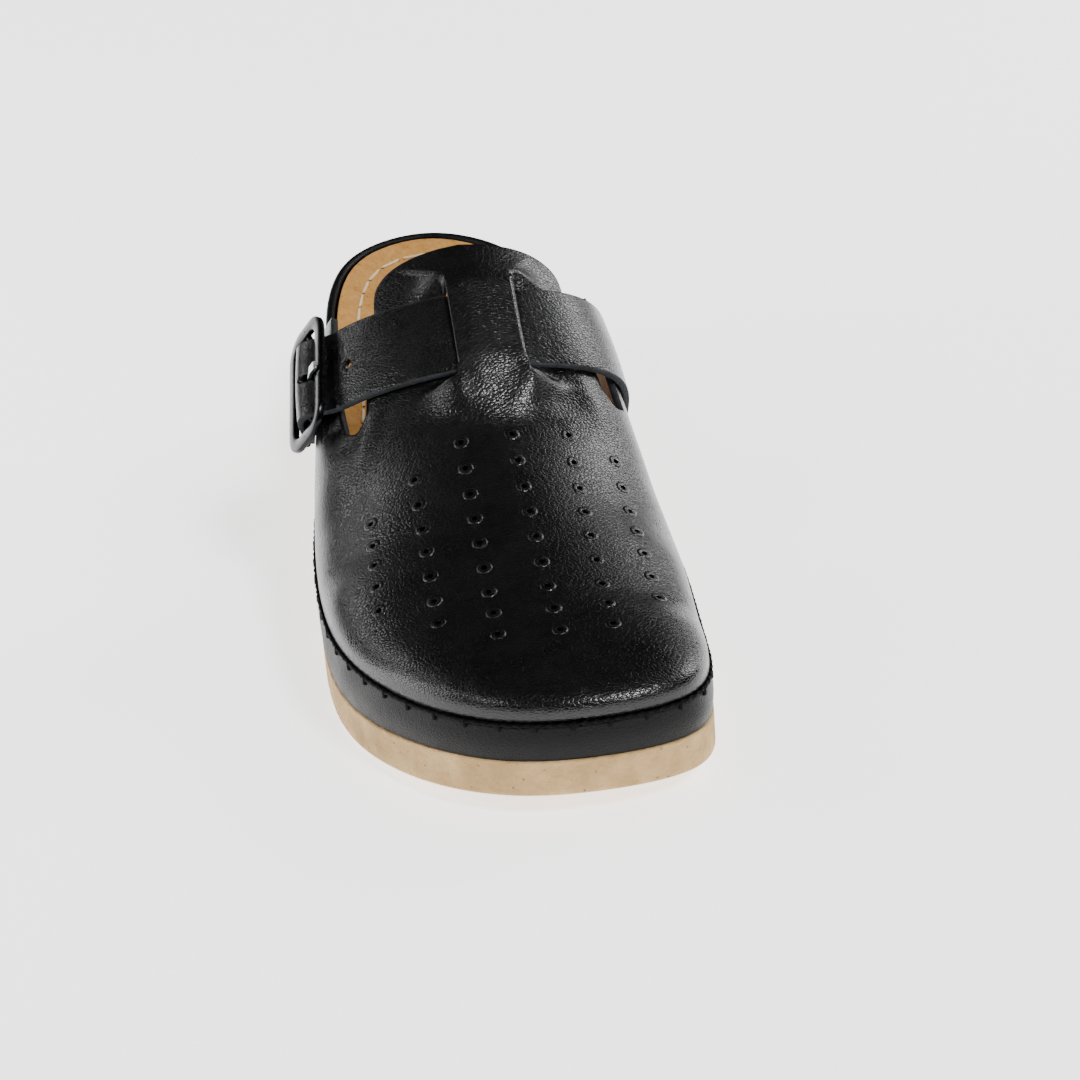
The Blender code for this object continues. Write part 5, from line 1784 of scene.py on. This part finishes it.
@dataclass
class Studio:
    """Pale floor, soft lights and the camera at the photograph's angle, in metres."""

    position: tuple[float, float, float] = (-0.061711, -0.831539, 0.384725)
    forward: tuple[float, float, float] = (0.09057459, 0.886177, -0.45440794)
    up: tuple[float, float, float] = (0.12698649, 0.44228197, 0.88784069)
    lens: float = 104.41
    floor_size: float = 14.0
    key_from: tuple[float, float, float] = (0.34, -0.58, 0.76)
    key_width: float = 12.0
    key_strength: float = 2.5
    side_from: tuple[float, float, float] = (0.75, 0.35, 0.56)
    side_width: float = 22.0
    side_strength: float = 1.0
    left_from: tuple[float, float, float] = (-0.70, -0.32, 0.74)
    left_width: float = 10.0
    left_strength: float = 0.45
    floor_glow: float = 1.9
    sky_strength: float = 0.05
    aim: tuple[float, float, float] = (0.0, -0.12, 0.03)
    # name, place, size, watts
    panels: tuple[tuple, ...] = (
        ("right_strip", (0.75, 0.30, 0.30), (0.25, 0.7), 2.5),
        ("left_strip", (-0.80, -0.05, 0.28), (0.25, 0.6), 4.0),
        ("right_back", (0.62, 0.50, 0.66), (0.40, 0.40), 1.0),
        ("left_back", (-0.65, 0.50, 0.66), (0.30, 0.30), 1.5),
    )

    def build_floor(self) -> None:
        """A wide matt floor in near-white paint."""
        half = self.floor_size / 2
        mesh = bpy.data.meshes.new("floor")
        corners = [(-half, -half, 0), (half, -half, 0), (half, half, 0), (-half, half, 0)]
        mesh.from_pydata(corners, [], [(0, 1, 2, 3)])
        material, tree, _ = blank("pale_floor_paint")
        surface(tree, {"Base Color": to_linear("#f7f7f6"), "Roughness": 0.9, "Specular IOR Level": 0.1,
                       "Emission Color": (1.0, 1.0, 1.0, 1.0), "Emission Strength": self.floor_glow})
        mesh.materials.append(material)
        floor = bpy.data.objects.new("floor", mesh)
        bpy.context.collection.objects.link(floor)

    def build_lights(self) -> None:
        """A soft key from the front, fills from both sides, strips, and a dim sky."""
        world = bpy.data.worlds.new("sky")
        world.use_nodes = True
        sky = world.node_tree.nodes["Background"]
        sky.inputs["Color"].default_value = (1.0, 1.0, 1.0, 1.0)
        sky.inputs["Strength"].default_value = self.sky_strength
        bpy.context.scene.world = world
        aim = Vector(self.aim)
        for name, spot, size, power in self.panels:
            lamp = bpy.data.lights.new(name, "AREA")
            lamp.shape = "RECTANGLE"
            lamp.size, lamp.size_y = size
            lamp.energy = power
            self.place_lamp(lamp, Vector(spot), aim)
        for name, source, width, strength in (
            ("front_key", self.key_from, self.key_width, self.key_strength),
            ("side_fill", self.side_from, self.side_width, self.side_strength),
            ("left_fill", self.left_from, self.left_width, self.left_strength),
        ):
            sun = bpy.data.lights.new(name, "SUN")
            sun.angle = math.radians(width)
            sun.energy = strength
            self.place_lamp(sun, aim + Vector(source), aim)

    def place_lamp(self, lamp: bpy.types.Light, spot: Vector, aim: Vector) -> None:
        """Stand a lamp at a spot, turned towards its aim.

        Args:
            lamp: the lamp's light data.
            spot: its place.
            aim: the point that it faces.
        """
        item = bpy.data.objects.new(lamp.name, lamp)
        item.location = spot
        item.rotation_euler = (aim - spot).to_track_quat("-Z", "Y").to_euler()
        bpy.context.collection.objects.link(item)

    def build_camera(self) -> None:
        """The camera, rolled as the photograph is."""
        lens = bpy.data.cameras.new("camera")
        lens.sensor_width = 36.0
        lens.sensor_fit = "HORIZONTAL"
        lens.lens = self.lens
        item = bpy.data.objects.new("camera", lens)
        ahead, over = Vector(self.forward).normalized(), Vector(self.up).normalized()
        right = ahead.cross(over)
        turn = Matrix((right, over, -ahead)).transposed().to_4x4()
        item.matrix_world = Matrix.Translation(self.position) @ turn
        bpy.context.collection.objects.link(item)
        bpy.context.scene.camera = item

    def build(self) -> None:
        """Set up the whole studio."""
        self.build_floor()
        self.build_lights()
        self.build_camera()


def main() -> None:
    """Build every sub-assembly in order."""
    logging.basicConfig(level=logging.INFO)
    Studio().build()
    finishes = Finishes.make()
    Outsole().build(finishes)
    footbed = Footbed()
    footbed.build_band(finishes)
    footbed.build_sock(finishes)
    footbed.build_stitches(finishes)
    upper = Upper().build(finishes)
    Perforations().build(upper, finishes)
    SeamThread().build(finishes)
    strap = Strap()
    strap.build(finishes)
    buckle = Buckle(strap)
    buckle.build_frame(finishes)
    buckle.build_prong(finishes)
    buckle.build_tab(finishes)


if __name__ == "__main__":
    main()
